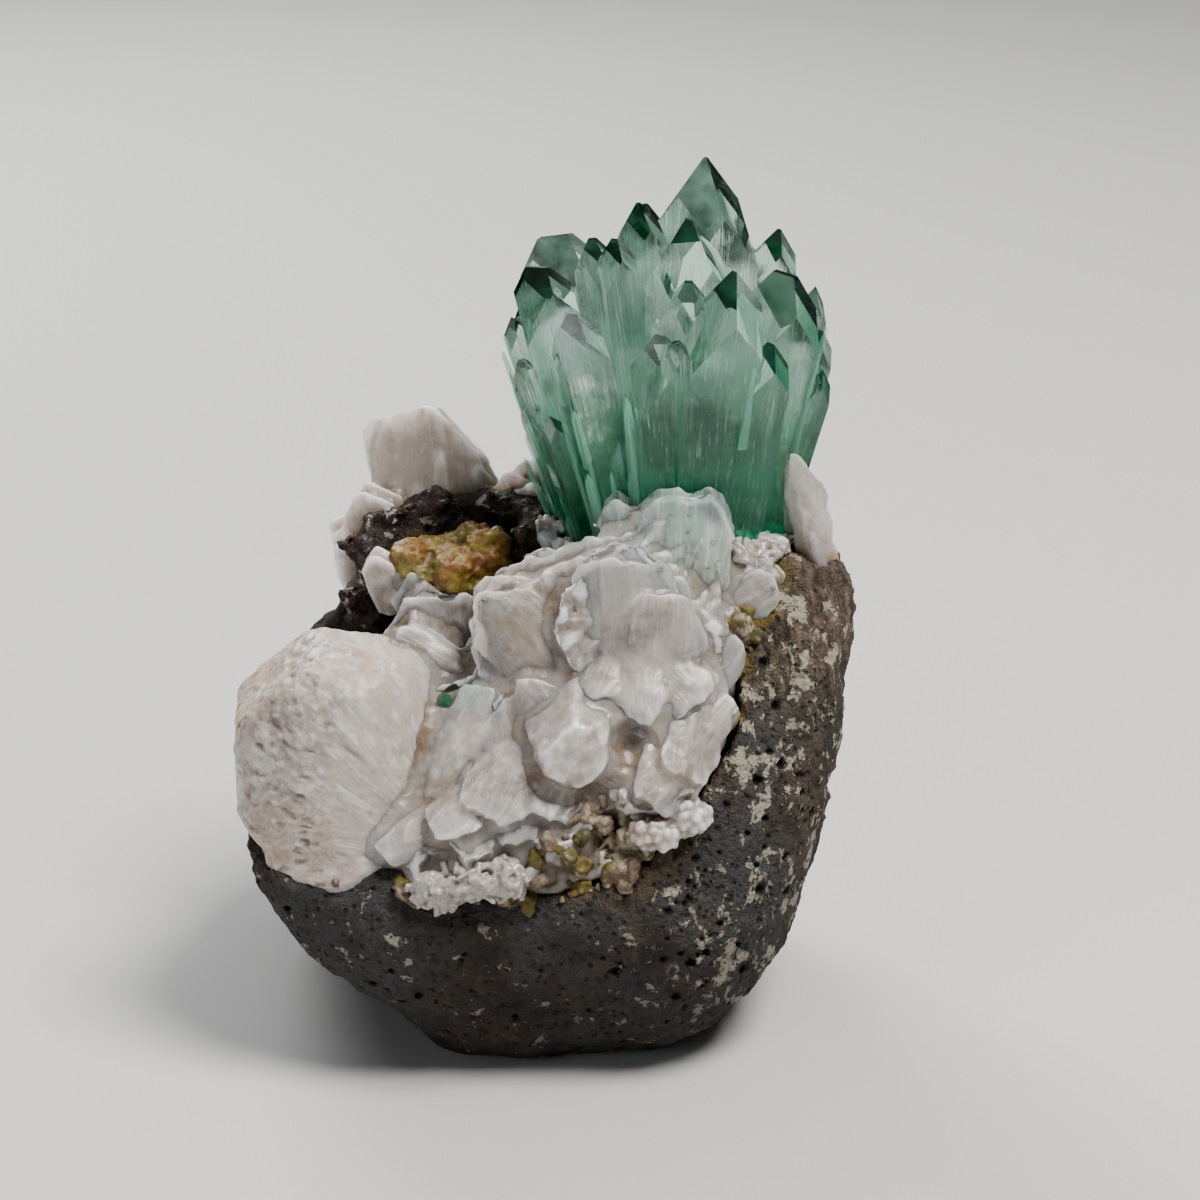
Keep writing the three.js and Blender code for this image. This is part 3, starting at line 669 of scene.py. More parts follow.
# The sheaves, in millimetres. Each grows from its root to its tip, with its broad side looking the way of
# facing. fan turns its leaves in their own plane and splay leans them apart, both in degrees. profile is
# the outline of a leaf's end, step how much shorter the front leaves are, and jag the size of its teeth.
ROUND = ((-1, 0.72), (-0.7, 0.90), (-0.3, 0.985), (0, 1), (0.3, 0.985), (0.7, 0.90), (1, 0.72))
ROOF = ((-1, 0.74), (-0.1, 1), (0.15, 0.99), (1, 0.76))
BROKEN = ((-1, 0.86), (-0.6, 0.99), (-0.15, 1), (0.0, 0.95), (0.12, 0.96), (0.45, 1), (0.75, 0.93), (1, 0.66))
SLANT = ((-1, 0.88), (-0.85, 0.95), (0.2, 1), (0.32, 0.99), (1, 0.60))
BLOCK = ((-1, 0.88), (-0.82, 0.985), (-0.2, 1), (0.25, 0.96), (0.7, 0.985), (0.85, 0.94), (1, 0.80))
SPEAR = ((-1, 0.70), (-0.35, 1), (0.0, 0.97), (1, 0.62))

FAN_SHEAVES = (
    dict(root=(17, -9.5, 55), tip=(16.4, -7.6, 70.8), facing=(0.05, -1, 0.15), width=14.5, thick=2.0,
         fan=3, splay=2, profile=BROKEN, step=0.10, jag=0.6, pinch=0.45, leaf=1.1, bow=0.08, ribs=0.13),
    dict(root=(9.6, -6, 59), tip=(7.9, -5.6, 69.2), facing=(-0.2, -1, 0.2), width=5.5, thick=1.6,
         fan=4, splay=4, profile=ROUND, step=0.1, jag=0.3, leaf=1.0, bow=0.1),
    dict(root=(11, -16.5, 45), tip=(6.8, -10.5, 66.6), facing=(-0.1, -1, 0.4), width=14, thick=6,
         fan=7, splay=6, profile=BLOCK, step=0.16, jag=0.7, bow=0.24),
    dict(root=(13, -16.5, 46), tip=(15.8, -12.6, 62.8), facing=(0.35, -1, 0.3), width=12, thick=5,
         fan=7, splay=6, profile=SLANT, step=0.18, jag=0.5, bow=0.2),
    dict(root=(4.5, -15, 46), tip=(-8.8, -8, 59.6), facing=(-0.35, -0.8, 0.6), width=12, thick=5,
         fan=7, splay=9, profile=ROOF, step=0.10, jag=0.45, bow=0.15, leaf=1.2),
    dict(root=(4, -14, 46), tip=(-2.0, -7.4, 63.6), facing=(-0.35, -1, 0.4), width=10.5, thick=4.4,
         fan=7, splay=6, profile=BLOCK, step=0.2, jag=0.6, bow=0.15),
    dict(root=(8.4, -15.4, 52), tip=(4.6, -21.2, 46.0), facing=(-0.3, -0.9, 0.45), width=7.5, thick=3.4,
         fan=9, splay=5, profile=ROOF, step=0.14, jag=0.35, bow=0.15, leaf=1.3, ribs=0.04),
    dict(root=(11, -16, 52), tip=(10.2, -22.6, 42.8), facing=(0.0, -0.9, 0.5), width=8.5, thick=3.8,
         fan=9, splay=5, profile=SPEAR, step=0.14, jag=0.35, bow=0.12, leaf=1.3, ribs=0.04),
    dict(root=(13, -16, 51), tip=(19.2, -18.6, 45.4), facing=(0.3, -0.9, 0.3), width=8.5, thick=4,
         fan=9, splay=5, profile=BLOCK, step=0.12, jag=0.4, bow=0.1, leaf=1.3, ribs=0.04),
)
FRONT_SHEAVES = (
    dict(root=(19.5, -17, 44), tip=(8.6, -26.2, 35.2), facing=(0.2, -0.9, 0.45), width=10, thick=5,
         fan=6, splay=4, profile=BROKEN, step=0.12, jag=0.7, bow=0.12, ribs=0.07),
    dict(root=(18, -17, 46), tip=(14.4, -24.4, 37.6), facing=(0.4, -0.9, 0.35), width=8, thick=4,
         fan=6, splay=4, profile=BLOCK, step=0.12, jag=0.5, bow=0.10, ribs=0.07),
    dict(root=(-13.2, -21, 33.5), tip=(-4.4, -13, 48.4), facing=(-0.35, -1, 0.4), width=8.6, thick=4.0,
         fan=4, splay=3, profile=SLANT, step=0.12, jag=0.3, bow=0.05, leaf=1.4),
    dict(root=(-3, -20, 35), tip=(-4.4, -13.5, 49.5), facing=(0.15, -1, 0.4), width=9.5, thick=4.6,
         fan=7, splay=6, profile=ROOF, step=0.2, jag=0.35, bow=0.2),
    dict(root=(3, -19, 40), tip=(-3.6, -15, 52.0), facing=(-0.25, -1, 0.35), width=7.5, thick=4,
         fan=7, splay=6, profile=ROOF, step=0.2, jag=0.35, bow=0.2),
    dict(root=(-10, -21.5, 34.5), tip=(-20.6, -25.6, 28.6), facing=(-0.2, -0.85, 0.55), width=7.6, thick=4,
         fan=4, splay=4, profile=SLANT, step=0.1, jag=0.3, bow=0.2, leaf=2.2),
    dict(root=(-6, -19, 38), tip=(-14.6, -27.4, 30.0), facing=(-0.5, -0.8, 0.4), width=9.5, thick=4,
         fan=6, splay=7, profile=ROOF, step=0.15, jag=0.7, bow=0.08, leaf=1.4),
    dict(root=(-1, -18, 42), tip=(-8.0, -27.2, 31.0), facing=(-0.25, -0.8, 0.45), width=9.5, thick=4.2,
         fan=9, splay=7, profile=BROKEN, step=0.2, jag=0.7, bow=0.08, leaf=1.3),
    dict(root=(3, -18, 41), tip=(-1.4, -26.8, 32.0), facing=(0.1, -0.8, 0.5), width=9.0, thick=4,
         fan=9, splay=7, profile=SLANT, step=0.2, jag=0.7, bow=0.10, leaf=1.3),
)
BACK_SHEAVES = (
    dict(root=(-8, -8, 45), tip=(-20.6, -5.5, 51.6), facing=(-0.1, -0.8, 0.7), width=6.5, thick=3.6,
         fan=6, splay=5, profile=ROUND, step=0.15, jag=0.3),
    dict(root=(-13, -1, 46), tip=(-18.6, -2.6, 56.4), facing=(-0.15, -1, 0.4), width=8.5, thick=3.4,
         fan=9, splay=6, profile=ROOF, step=0.15, jag=0.45),
    dict(root=(-19.4, 3, 52), tip=(-21.6, 1.6, 59.4), facing=(-0.3, -1, 0.2), width=5, thick=3,
         fan=3, splay=3, profile=ROOF, step=0.1, jag=0.1, pinch=0.8, leaf=2.2, bow=0),
    dict(root=(-10.5, 0.5, 47), tip=(-12, -1.5, 56.6), facing=(0.1, -1, 0.3), width=7.5, thick=3.4,
         fan=9, splay=6, profile=ROOF, step=0.15, jag=0.45),
    dict(root=(17, -15, 43), tip=(23.4, -8.5, 54), facing=(-0.35, -1, 0.3), width=6.5, thick=3.6,
         fan=9, splay=8, profile=ROUND, step=0.15, jag=0.7, leaf=1.1, ribs=0.15),
    dict(root=(19, -8, 53), tip=(28.4, -5.6, 60.8), facing=(-0.1, -1, 0.5), width=8, thick=3.6,
         fan=12, splay=8, profile=ROUND, step=0.15, jag=0.7, leaf=1.1, ribs=0.15),
)
BACK_BLADES = (
    dict(root=(-14, 17, 53), tip=(-17.0, 20, 72.4), facing=(-0.1, -1, 0.1), width=17.5, thick=4.5,
         fan=1.0, splay=1, profile=SLANT, step=0.03, jag=0.15, pinch=0.7, leaf=3.4, bow=0.06, ribs=0.03),
    dict(root=(-20, 14, 52), tip=(-24.0, 16, 63.4), facing=(-0.35, -1, 0.1), width=8.5, thick=3,
         fan=3, splay=2, profile=ROOF, step=0.1, jag=0.5, bow=0.1, leaf=2.0, ribs=0.12),
    dict(root=(-8, 17.5, 53), tip=(-9, 19, 66.0), facing=(0.25, -1, 0.1), width=6, thick=4,
         fan=3, splay=2, profile=ROOF, step=0.1, jag=0.3, bow=0.1),
    dict(root=(-13, 13, 48), tip=(-29.0, 15.2, 57.2), facing=(-0.2, -1, 0.3), width=12.5, thick=4,
         fan=5, splay=3, profile=ROOF, step=0.12, jag=0.6, bow=0.1),
    dict(root=(-2, 17, 55), tip=(-3.2, 14, 67), facing=(-0.3, -1, 0.2), width=7, thick=4,
         fan=14, splay=8, profile=ROOF, step=0.15, jag=0.6, leaf=1.1, ribs=0.15),
)
RIGHT_SHEAF = (
    dict(root=(33.4, 0.2, 57), tip=(28.8, -2.2, 74.4), facing=(0.2, -1, 0.1), width=6.2, thick=4.0,
         fan=2, splay=3, profile=SPEAR, step=0.06, jag=0.3, pinch=0.95, leaf=1.9, bow=0.3, ribs=0.12),
)
REAR_SHEAVES = (
    dict(root=(18, 18, 53), tip=(19, 27, 66.6), facing=(0.1, 1, 0.3), width=10.5, thick=4.6,
         fan=9, splay=7, profile=ROUND, step=0.2, jag=0.4),
    dict(root=(12, 18, 53), tip=(5, 25.5, 65.2), facing=(-0.3, 1, 0.3), width=8.5, thick=4,
         fan=8, splay=6, profile=ROOF, step=0.15, jag=0.4),
    dict(root=(25, 16, 53), tip=(31.5, 20.5, 65.2), facing=(0.6, 0.8, 0.2), width=8.5, thick=4,
         fan=8, splay=6, profile=ROUND, step=0.15, jag=0.4),
)


def standing(root, tip, facing):
    """The matrix that stands a leaf made along +Z at its root, with its +Y side turned to face a way."""
    root, tip = Vector(root) * MM, Vector(tip) * MM
    up = (tip - root).normalized()
    across = Vector(facing).cross(up).normalized()
    front = up.cross(across)
    matrix = Matrix((across, front, up)).transposed().to_4x4()
    matrix.translation = root
    return matrix


def leaf_blank():
    """The flat plate that every leaf is shaped from."""
    bpy.ops.mesh.primitive_grid_add(x_subdivisions=40, y_subdivisions=32, size=2)
    blank = bpy.context.object
    blank.name = "leaf"
    modify(blank, "SOLIDIFY", thickness=0.1, offset=0)
    return blank


def fractal_along(values, size, phase, octaves=3):
    places = (Vector((value / size, phase, phase * 0.7)) for value in values)
    return np.array([noise.fractal(place, 0.8, 2.1, octaves) for place in places])


def shape_leaf(flat, picker, width, length, thick, sheaf, curl):
    """The plate bent to one leaf: narrow at its root, toothed at its end, thin at its rim and terraced."""
    u, v, side = flat[:, 0], (flat[:, 1] + 1) / 2, np.sign(flat[:, 2])
    jag, pinch = sheaf["jag"], sheaf.get("pinch", 0.5)
    bow, ribs = sheaf.get("bow", 0.2), sheaf.get("ribs", 0.08)
    phase = picker.random() * 50
    teeth = fractal_along(u * width, 2.4, phase)
    fine = fractal_along(u * width, 0.8, phase + 9, 2)
    top = length * np.interp(-u, *zip(*sheaf["profile"])) + jag * (0.55 * teeth + 0.55 * fine)
    low = -0.22 * length
    z = low + (top - low) * v
    swell = pinch + (1 - pinch) * np.sin(np.clip(v / 0.86, 0, 1) * math.pi / 2) ** 1.3
    edge = np.array([noise.noise(Vector((phase, y * length / 2.4, np.sign(x) * 5))) for x, y in zip(u, v)])
    x = u * (width / 2) * swell + np.abs(u) ** 3 * np.sign(u) * edge * (0.3 + jag)
    pillow = np.clip(1 - np.abs(u) ** 3, 0, 1) ** 0.5 * np.clip(1 - v**4, 0, 1) ** 0.5
    wander = np.array([
        noise.noise(Vector((a * width / 4, b * length / 5, phase + c))) for a, b, c in zip(u, v, side)
    ])
    level = 3.2 * (1 - (np.abs(u) ** 3 + v**3) ** (1 / 3)) + 0.9 * wander
    stairs = (np.floor(level) + np.clip((level - np.floor(level)) / 0.22, 0, 1)) / 3.2
    half = 0.1 + (thick / 2 - 0.1) * np.clip(0.15 * pillow + 0.95 * np.clip(stairs, 0, 1), 0, 1.1)
    grooves = np.array([
        noise.fractal(Vector((a * width / 1.3, b * 1.2, phase)), 0.7, 2.1, 3) for a, b in zip(u, v)
    ])
    y = side * half - bow * u**2 * width / 2 + curl * (v - 0.4) ** 2 * length - 0.25 * bow * v**2 * width / 2
    y += ribs * 2 * grooves * v
    return np.stack([x, y, z], 1) * MM


def leaves_of(sheaf, blank, picker, leaf_mm):
    """One object per leaf of a sheaf, with the leaf's own directions kept for its finish."""
    matrix = standing(sheaf["root"], sheaf["tip"], sheaf["facing"])
    length = (Vector(sheaf["tip"]) - Vector(sheaf["root"])).length
    count = max(2, round(sheaf["thick"] / (leaf_mm * 0.85)))
    flat = points_of(blank)
    made = []
    for i in range(count):
        s = 2 * i / (count - 1) - 1
        width = sheaf["width"] * (1 - 0.10 * s * s + picker.uniform(-0.10, 0.04))
        shorter = sheaf["step"] * (s + 1) / 2 + 0.05 * max(0, -s)
        tall = length * (1 - shorter + picker.uniform(-0.04, 0.01))
        curl = 0.04 * s + picker.uniform(-0.05, 0.02)
        points = shape_leaf(flat, picker, width, tall, leaf_mm * 1.15, sheaf, curl)
        turn = math.radians(sheaf["fan"] * (0.7 * s * (-1) ** i + picker.uniform(-0.5, 0.5)))
        lean = math.radians(-sheaf["splay"] * s)
        local = Matrix.Translation((0, s * max(sheaf["thick"] - leaf_mm, 0) / 2 * MM, 0))
        local = local @ Matrix.Rotation(lean, 4, "X") @ Matrix.Rotation(turn, 4, "Y")
        leaf = bpy.data.objects.new("leaf", blank.data.copy())
        bpy.context.scene.collection.objects.link(leaf)
        set_points(leaf, points)
        leaf.data.transform(matrix @ local)
        write(leaf, "across", flat[:, 0] * sheaf["width"] / 2)
        write(leaf, "along", (flat[:, 1] + 1) / 2)
        write(leaf, "leaf", np.full(len(flat), picker.random()))
        made.append(leaf)
    return made


def carry(source, target, names):
    """Hands each attribute from the nearest point of one mesh to another."""
    tree = kdtree.KDTree(len(source.data.vertices))
    for i, vertex in enumerate(source.data.vertices):
        tree.insert(vertex.co, i)
    tree.balance()
    nearest = np.array([tree.find(vertex.co)[1] for vertex in target.data.vertices])
    for name in names:
        values = np.empty(len(source.data.vertices), np.float32)
        source.data.attributes[name].data.foreach_get("value", values)
        write(target, name, values[nearest])


# The rounded lump of plates in the middle of the hollow: its middle and half its size, in millimetres.
ROSETTE = Vector((3.3, -22.6, 43.0))
ROSETTE_SPAN = (4.7, 4.6, 4.7)
ROSETTE_STACK = Vector((0.7, -0.15, -0.6)).normalized()
ROSETTE_FACES = (
    ((-0.6, -0.3, 0.75), 0.78), ((0.4, -0.35, 0.85), 0.94), ((1, -0.25, 0.1), 0.93),
    ((0.6, -0.35, -0.8), 0.97), ((-0.45, -0.4, -0.9), 0.95), ((-1, -0.35, -0.15), 0.94),
    ((0.15, -1, 0.2), 0.82), ((0, 1, 0), 1),
)
ROSETTE_SHARPNESS = 18


def face_share(ways, faces, sharpness):
    """How much the faces of a ball cut by planes hold back its surface along each way."""
    share = np.zeros(len(ways))
    for way, distance in faces:
        way = np.array(way) / np.linalg.norm(way)
        share += (np.clip(ways @ way, 0, None) / distance) ** sharpness
    return share


def rosette_lump():
    """A ball cut by slanting plates, flattened at its upper left."""
    bpy.ops.mesh.primitive_ico_sphere_add(subdivisions=6, radius=1)
    lump = bpy.context.object
    ways = points_of(lump)
    level = ways @ np.array(ROSETTE_STACK) * ROSETTE_SPAN[2] / 2.0 + 0.5 * rough(ways, 0.7, 71, 3)
    share = face_share(ways, ROSETTE_FACES, ROSETTE_SHARPNESS)
    step = level - np.floor(level)
    relief = 1 + 0.05 * np.clip(step * 1.4, 0, 1)
    relief = relief + 0.05 * rough(ways, 0.4, 72, 3) + 0.02 * rough(ways, 0.12, 73, 2)
    reach = share ** (-1 / ROSETTE_SHARPNESS) * relief
    points = ways * reach[:, None] * np.array(ROSETTE_SPAN) + np.array(ROSETTE)
    set_points(lump, points * MM)
    write(lump, "across", ways[:, 0] * 4)
    write(lump, "along", ways[:, 2] * 0.5)
    write(lump, "leaf", np.full(len(ways), 0.4))
    return lump


def fused(piece, gap, voxel):
    """Closes the cracks between leaves that are narrower than twice the gap, in millimetres."""
    modify(piece, "REMESH", mode="VOXEL", voxel_size=voxel * MM, use_smooth_shade=True)
    set_points(piece, points_of(piece) + normals_of(piece) * gap * MM)
    modify(piece, "REMESH", mode="VOXEL", voxel_size=voxel * MM, use_smooth_shade=True)
    set_points(piece, points_of(piece) - normals_of(piece) * gap * MM)


# How wide the cracks are that close between the leaves of a sheaf, in millimetres.
LEAF_GAP = 0.34


def grow_sheaves(name, sheaves, settings, seed, voxel):
    """Sheaves of leaves, grown together into one closed piece."""
    picker = random.Random(seed)
    blank = leaf_blank()
    leaves = [rosette_lump()] if sheaves is FRONT_SHEAVES else []
    for sheaf in sheaves:
        leaves += leaves_of(sheaf, blank, picker, sheaf.get("leaf", settings.leaf / MM))
    bpy.data.objects.remove(blank)
    piece = joined(leaves, name)
    guide = twin(piece)
    fused(piece, LEAF_GAP, voxel)
    modify(piece, "SMOOTH", factor=0.5, iterations=1)
    carry(guide, piece, ("across", "along", "leaf"))
    bpy.data.objects.remove(guide)
    return piece


# How wide the gaps are that the body between the plates closes, how far it stays below their faces, and
# the size of its mesh, in millimetres.
FILL_GAP, FILL_DEPTH, FILL_VOXEL = 1.5, 0.36, 0.56


def fill_gaps(settings):
    """The cloudy body that the plates grew out of: it closes the narrow gaps between them."""
    copies = []
    for name in ("stilbite_bed", "stilbite_dome", "stilbite_fan", "stilbite_front", "stilbite_edges"):
        copy = bpy.data.objects.new(name, bpy.data.objects[name].data.copy())
        bpy.context.scene.collection.objects.link(copy)
        copies.append(copy)
    body = joined(copies, "stilbite_body")
    body.data.materials.clear()
    guide = bpy.data.objects.new("guide", body.data.copy())
    bpy.context.scene.collection.objects.link(guide)
    fused(body, FILL_GAP, FILL_VOXEL)
    modify(body, "SMOOTH", factor=0.5, iterations=14)
    set_points(body, points_of(body) - normals_of(body) * FILL_DEPTH * MM)
    carry(guide, body, ("across", "along", "leaf"))
    bpy.data.objects.remove(guide)
    return finish_stilbite(body, settings, "stilbite_crust", grain=0.04, waves=0.1)


# Where the white is tinted, where it is painted darker as shade, where pearly glints are painted on and the
# surface is glossier, and where the crust is altered to tan: centres and reach in millimetres.
TAN_SPOTS = (((8.5, -25, 32), 5.5), ((4.7, -24.5, 35.0), 3.0), ((13, -24, 33), 3.5), ((3.0, -27, 29.5), 5.0))
MINT_SPOTS = (((17, -8, 66), 9), ((8, -6, 66), 5), ((-9, -14, 47), 3.0))
PEARL_SPOTS = (((3.3, -24, 43.5), 5), ((-12, -19, 42), 6), ((-10, -24, 34), 4), ((-9, -14, 47), 3))
PAINTED_SHADE_SPOTS = (((-4.5, -11.5, 55), 8.5), ((12, -24, 40), 5.5), ((-12, -21, 36), 4.5), ((2, -21, 38), 5))
WARM_SPOTS = (
    ((-33, -10, 44), 9), ((-30, -22, 30), 7), ((-17, 17, 62), 12), ((-14, -26, 30), 5), ((4, -4, 60), 6),
)
TINTS_AND_PAINTED_LIGHT = {
    "mint": MINT_SPOTS, "warm": WARM_SPOTS, "tan": TAN_SPOTS, "painted_shade": PAINTED_SHADE_SPOTS, "pearl": PEARL_SPOTS,
}


def finish_stilbite(piece, settings, *nodes, grain=0.05, waves=0.06):
    """Fine lines along the leaves, the tints and stains, painted shade and painted highlights, and the pearly
    finish.
    """
    points, normals = points_of(piece), normals_of(piece)
    across, along, leaf = (np.empty(len(points), np.float32) for _ in range(3))
    for name, values in (("across", across), ("along", along), ("leaf", leaf)):
        piece.data.attributes[name].data.foreach_get("value", values)
    lines = np.array([
        noise.fractal(Vector((a / 0.7, b * 2.0, c * 40)), 0.8, 2.0, 2) for a, b, c in zip(across, along, leaf)
    ])
    relief = grain * lines + waves * rough(points, 1.6 * MM, 51, 3)
    set_points(piece, points + normals * (relief * MM)[:, None])
    write(piece, "crevice", crevices(piece, 16) / (0.35 * MM))
    for tint, spots in TINTS_AND_PAINTED_LIGHT.items():
        write(piece, tint, nearness(points, spots))
    write(piece, "seam", np.clip(1.5 - gap_to(points, bpy.data.objects["basalt"]) / (0.9 * MM), 0, 1))
    shade(piece, 50)
    return done(piece, "stilbite", stilbite_material(settings), *nodes)


def stilbite_material(settings):
    if "pearly stilbite" in bpy.data.materials:
        return bpy.data.materials["pearly stilbite"]
    f = Finish("pearly stilbite")
    across, along, leaf = f.attribute("across"), f.attribute("along"), f.attribute("leaf")
    grain = f.node("CombineXYZ", {0: f.times(across, 1.0), 1: f.times(along, 1.6), 2: f.times(leaf, 37.0)})
    lines = f.node("TexNoise", {"Vector": grain, "Scale": 2.2, "Detail": 4, "Roughness": 0.6})
    wavy = {"Vector": grain, "Scale": 0.8, "Detail": 3, "Roughness": 0.5, "Distortion": 0.9}
    veins = f.node("TexNoise", wavy)
    clouds, cloudlets = f.noise(6, 3), f.noise(1.6, 4, roughness=0.6)
    sparkle = f.noise(0.7, 3, roughness=0.7)
    white = f.mix(f.spread(clouds, 0.36, 0.62), settings.white, (0.33, 0.285, 0.26))
    white = f.mix(f.times(f.spread(cloudlets, 0.45, 0.7), 0.45), white, (0.60, 0.585, 0.57))
    white = f.mix(f.times(f.spread(lines, 0.50, 0.68), 0.26), white, (0.74, 0.73, 0.71))
    white = f.mix(f.times(f.spread(lines, 0.48, 0.30), 0.22), white, (0.36, 0.31, 0.27))
    mint = f.attribute("mint")
    ridge = f.math("ABSOLUTE", f.math("SUBTRACT", veins, 0.5))
    minty = f.mix(f.spread(ridge, 0.0, 0.05), (0.88, 0.91, 0.89), (0.42, 0.58, 0.50))
    white = f.mix(f.times(mint, 0.85), white, minty)
    white = f.mix(f.times(f.attribute("warm"), 0.55), white, settings.cream)
    # Painted shade: the white is painted a darker beige in the painted-shade spots.
    painted_shade = f.times(f.attribute("painted_shade"), f.spread(cloudlets, 0.35, 0.6, 0.95, 0.5))
    white = f.mix(painted_shade, white, (0.30, 0.245, 0.195))
    glints = f.times(f.attribute("pearl"), f.spread(cloudlets, 0.50, 0.62))
    white = f.mix(f.times(glints, 0.5), white, (0.72, 0.74, 0.73))
    crevice = f.attribute("crevice")
    # Painted light: edges and tips are painted brighter as if lit through, and crevices are painted darker as
    # shade; the iron stain in the deepest crevices below is the stone's own.
    white = f.mix(f.times(f.spread(crevice, -0.15, -0.8), 0.85), white, (0.86, 0.85, 0.84))
    white = f.mix(f.times(f.spread(crevice, 0.10, 1.2), 0.6), white, (0.31, 0.255, 0.215))
    cracks = f.times(f.spread(crevice, 0.5, 1.2), f.spread(clouds, 0.52, 0.62))
    white = f.mix(f.times(cracks, 0.7), white, settings.stain)
    patches = f.noise(4.2, 4)
    seam = f.times(f.attribute("seam"), f.spread(patches, 0.46, 0.56))
    rusty = f.mix(f.spread(clouds, 0.42, 0.58), (0.36, 0.27, 0.07), (0.22, 0.13, 0.07))
    white = f.mix(f.times(seam, 0.85), white, rusty)
    tan = f.mix(f.spread(cloudlets, 0.42, 0.60), (0.29, 0.215, 0.155), (0.15, 0.10, 0.065))
    tan = f.mix(f.spread(patches, 0.56, 0.62), tan, (0.42, 0.375, 0.32))
    white = f.mix(f.times(f.attribute("tan"), f.spread(patches, 0.25, 0.34)), white, tan)
    dull = f.spread(sparkle, 0.38, 0.64, 0.22, 0.48)
    f.set(
        Base_Color=white,
        Subsurface_Weight=0.92,
        Subsurface_Radius=(1.0, 0.88, 0.80),
        Subsurface_Scale=5.0 * MM,
        IOR=1.5,
        Roughness=f.math("SUBTRACT", dull, f.times(f.attribute("pearl"), 0.10)),
        Coat_Weight=0.18,
        Coat_Roughness=0.15,
    )
    height = f.math("ADD", f.times(lines, 0.85), f.times(sparkle, 0.35))
    f.set(Normal=f.bump(height, 0.30, 0.5))
    return f.material


def make_sheaves(settings):
    groups = (
        ("stilbite_fan", FAN_SHEAVES, 3, 0.29, "stilbite_crust"),
        ("stilbite_front", FRONT_SHEAVES, 4, 0.29, "stilbite_crust"),
        ("stilbite_edges", BACK_SHEAVES, 5, 0.31, "stilbite_crust"),
        ("stilbite_back_blades", BACK_BLADES, 6, 0.32, "stilbite_back_blade"),
        ("stilbite_long_sheaf", RIGHT_SHEAF, 7, 0.25, "stilbite_right_sheaf"),
        ("stilbite_rear", REAR_SHEAVES, 8, 0.36, "stilbite_rear_cluster"),
    )
    for name, sheaves, seed, voxel, node in groups:
        piece = grow_sheaves(name, sheaves, settings, seed, voxel)
        calm = 0.35 if sheaves is BACK_BLADES else 1.0
        finish_stilbite(piece, settings, node, grain=0.03 * calm, waves=0.05 * calm)
    fill_gaps(settings)
    rim = cad_copy("stilbite_rim_crust", "stilbite_rim")
    modify(rim, "REMESH", mode="VOXEL", voxel_size=0.25 * MM, use_smooth_shade=True)
    modify(rim, "SMOOTH", factor=0.5, iterations=6)
    points, normals = points_of(rim), normals_of(rim)
    relief = 0.7 * lumps(points, 1.1 * MM, 61) + 0.3 * rough(points, 2.5 * MM, 62)
    set_points(rim, points + normals * (relief * MM)[:, None])
    write(rim, "across", points[:, 0] / MM)
    write(rim, "along", points[:, 2] / (8 * MM))
    write(rim, "leaf", np.zeros(len(points)))
    finish_stilbite(rim, settings, "stilbite_rim_crust", grain=0.04)


DOME_CENTRE = Vector((-22, -9.5, 37))
# The way each face of the dome looks, and how far it is from the middle, in millimetres: flat ones, then
# those that are rounded together.
DOME_FLATS = (((-1, -0.08, 0.02), 15.7), ((-0.68, 0, 0.74), 14.8), ((-0.75, -0.2, -0.6), 16.6))
DOME_ROUNDS = (
    ((0.15, 0.1, 1), 14), ((-0.1, -0.95, 0.3), 15.4), ((-0.1, -0.55, -0.85), 20), ((1, -0.1, 0.1), 10.5),
    ((0, 1, 0.1), 10), ((0.7, -0.7, 0.1), 12.5), ((-0.75, -0.65, 0.1), 17.5),
)
# Where the dome's fibres begin, in millimetres.
FIBRE_ROOT = Vector((-9, -23, 27))


def dome_reach(ways):
    """How far the dome's surface is from its middle along each way, in millimetres."""
    total = np.zeros(len(ways))
    for faces, sharpness in ((DOME_FLATS, 30), (DOME_ROUNDS, 5)):
        total += face_share(ways, faces, sharpness) ** (20 / sharpness)
    return total ** (-1 / 20)


def make_dome(settings):
    bpy.ops.mesh.primitive_ico_sphere_add(subdivisions=7, radius=1)
    dome = bpy.context.object
    dome.name = "stilbite_dome"
    ways = points_of(dome)
    ways /= np.linalg.norm(ways, axis=1)[:, None]
    points = (ways * dome_reach(ways)[:, None] + np.array(DOME_CENTRE)) * MM
    arms = points / MM - np.array(FIBRE_ROOT)
    reach = np.linalg.norm(arms, axis=1)
    fibres = np.array([
        noise.fractal(Vector(a / r * 26) + Vector((0, 0, r * 0.10)), 0.8, 2.0, 3) for a, r in zip(arms, reach)
    ])
    broken = np.clip((-points[:, 0] / MM - 20) / 7 + 0.5 * rough(points, 6 * MM, 24, 2), 0, 1)
    dashes = np.array([
        noise.fractal(Vector(a / r * 22) + Vector((0, 0, r * 0.34)), 0.8, 2.0, 3) for a, r in zip(arms, reach)
    ])
    pits = np.clip(dashes - 0.25, 0, 0.6)
    relief = 0.28 * rough(points, 5 * MM, 21) + 0.10 * rough(points, 1.4 * MM, 22) - 0.1
    relief += (0.07 + 0.12 * broken) * fibres - (0.15 + 0.85 * broken) * pits * 0.4
    relief += 0.9 * np.clip(1.6 - gap_to(points, bpy.data.objects["basalt"]) / MM / 1.1, 0, 1)
    points = points + ways * (relief * MM)[:, None]
    set_points(dome, points)
    write(dome, "pits", pits * 2 * (0.2 + 0.8 * broken))
    write(dome, "across", fibres * 3)
    write(dome, "along", reach / 20)
    write(dome, "leaf", np.zeros(len(points)))
    write(dome, "broken", broken)
    write(dome, "crevice", crevices(dome, 12) / (0.35 * MM))
    write(dome, "warm", nearness(points, WARM_SPOTS))
    shade(dome, 50)
    return done(dome, "stilbite", dome_material(settings), "stilbite_crust")


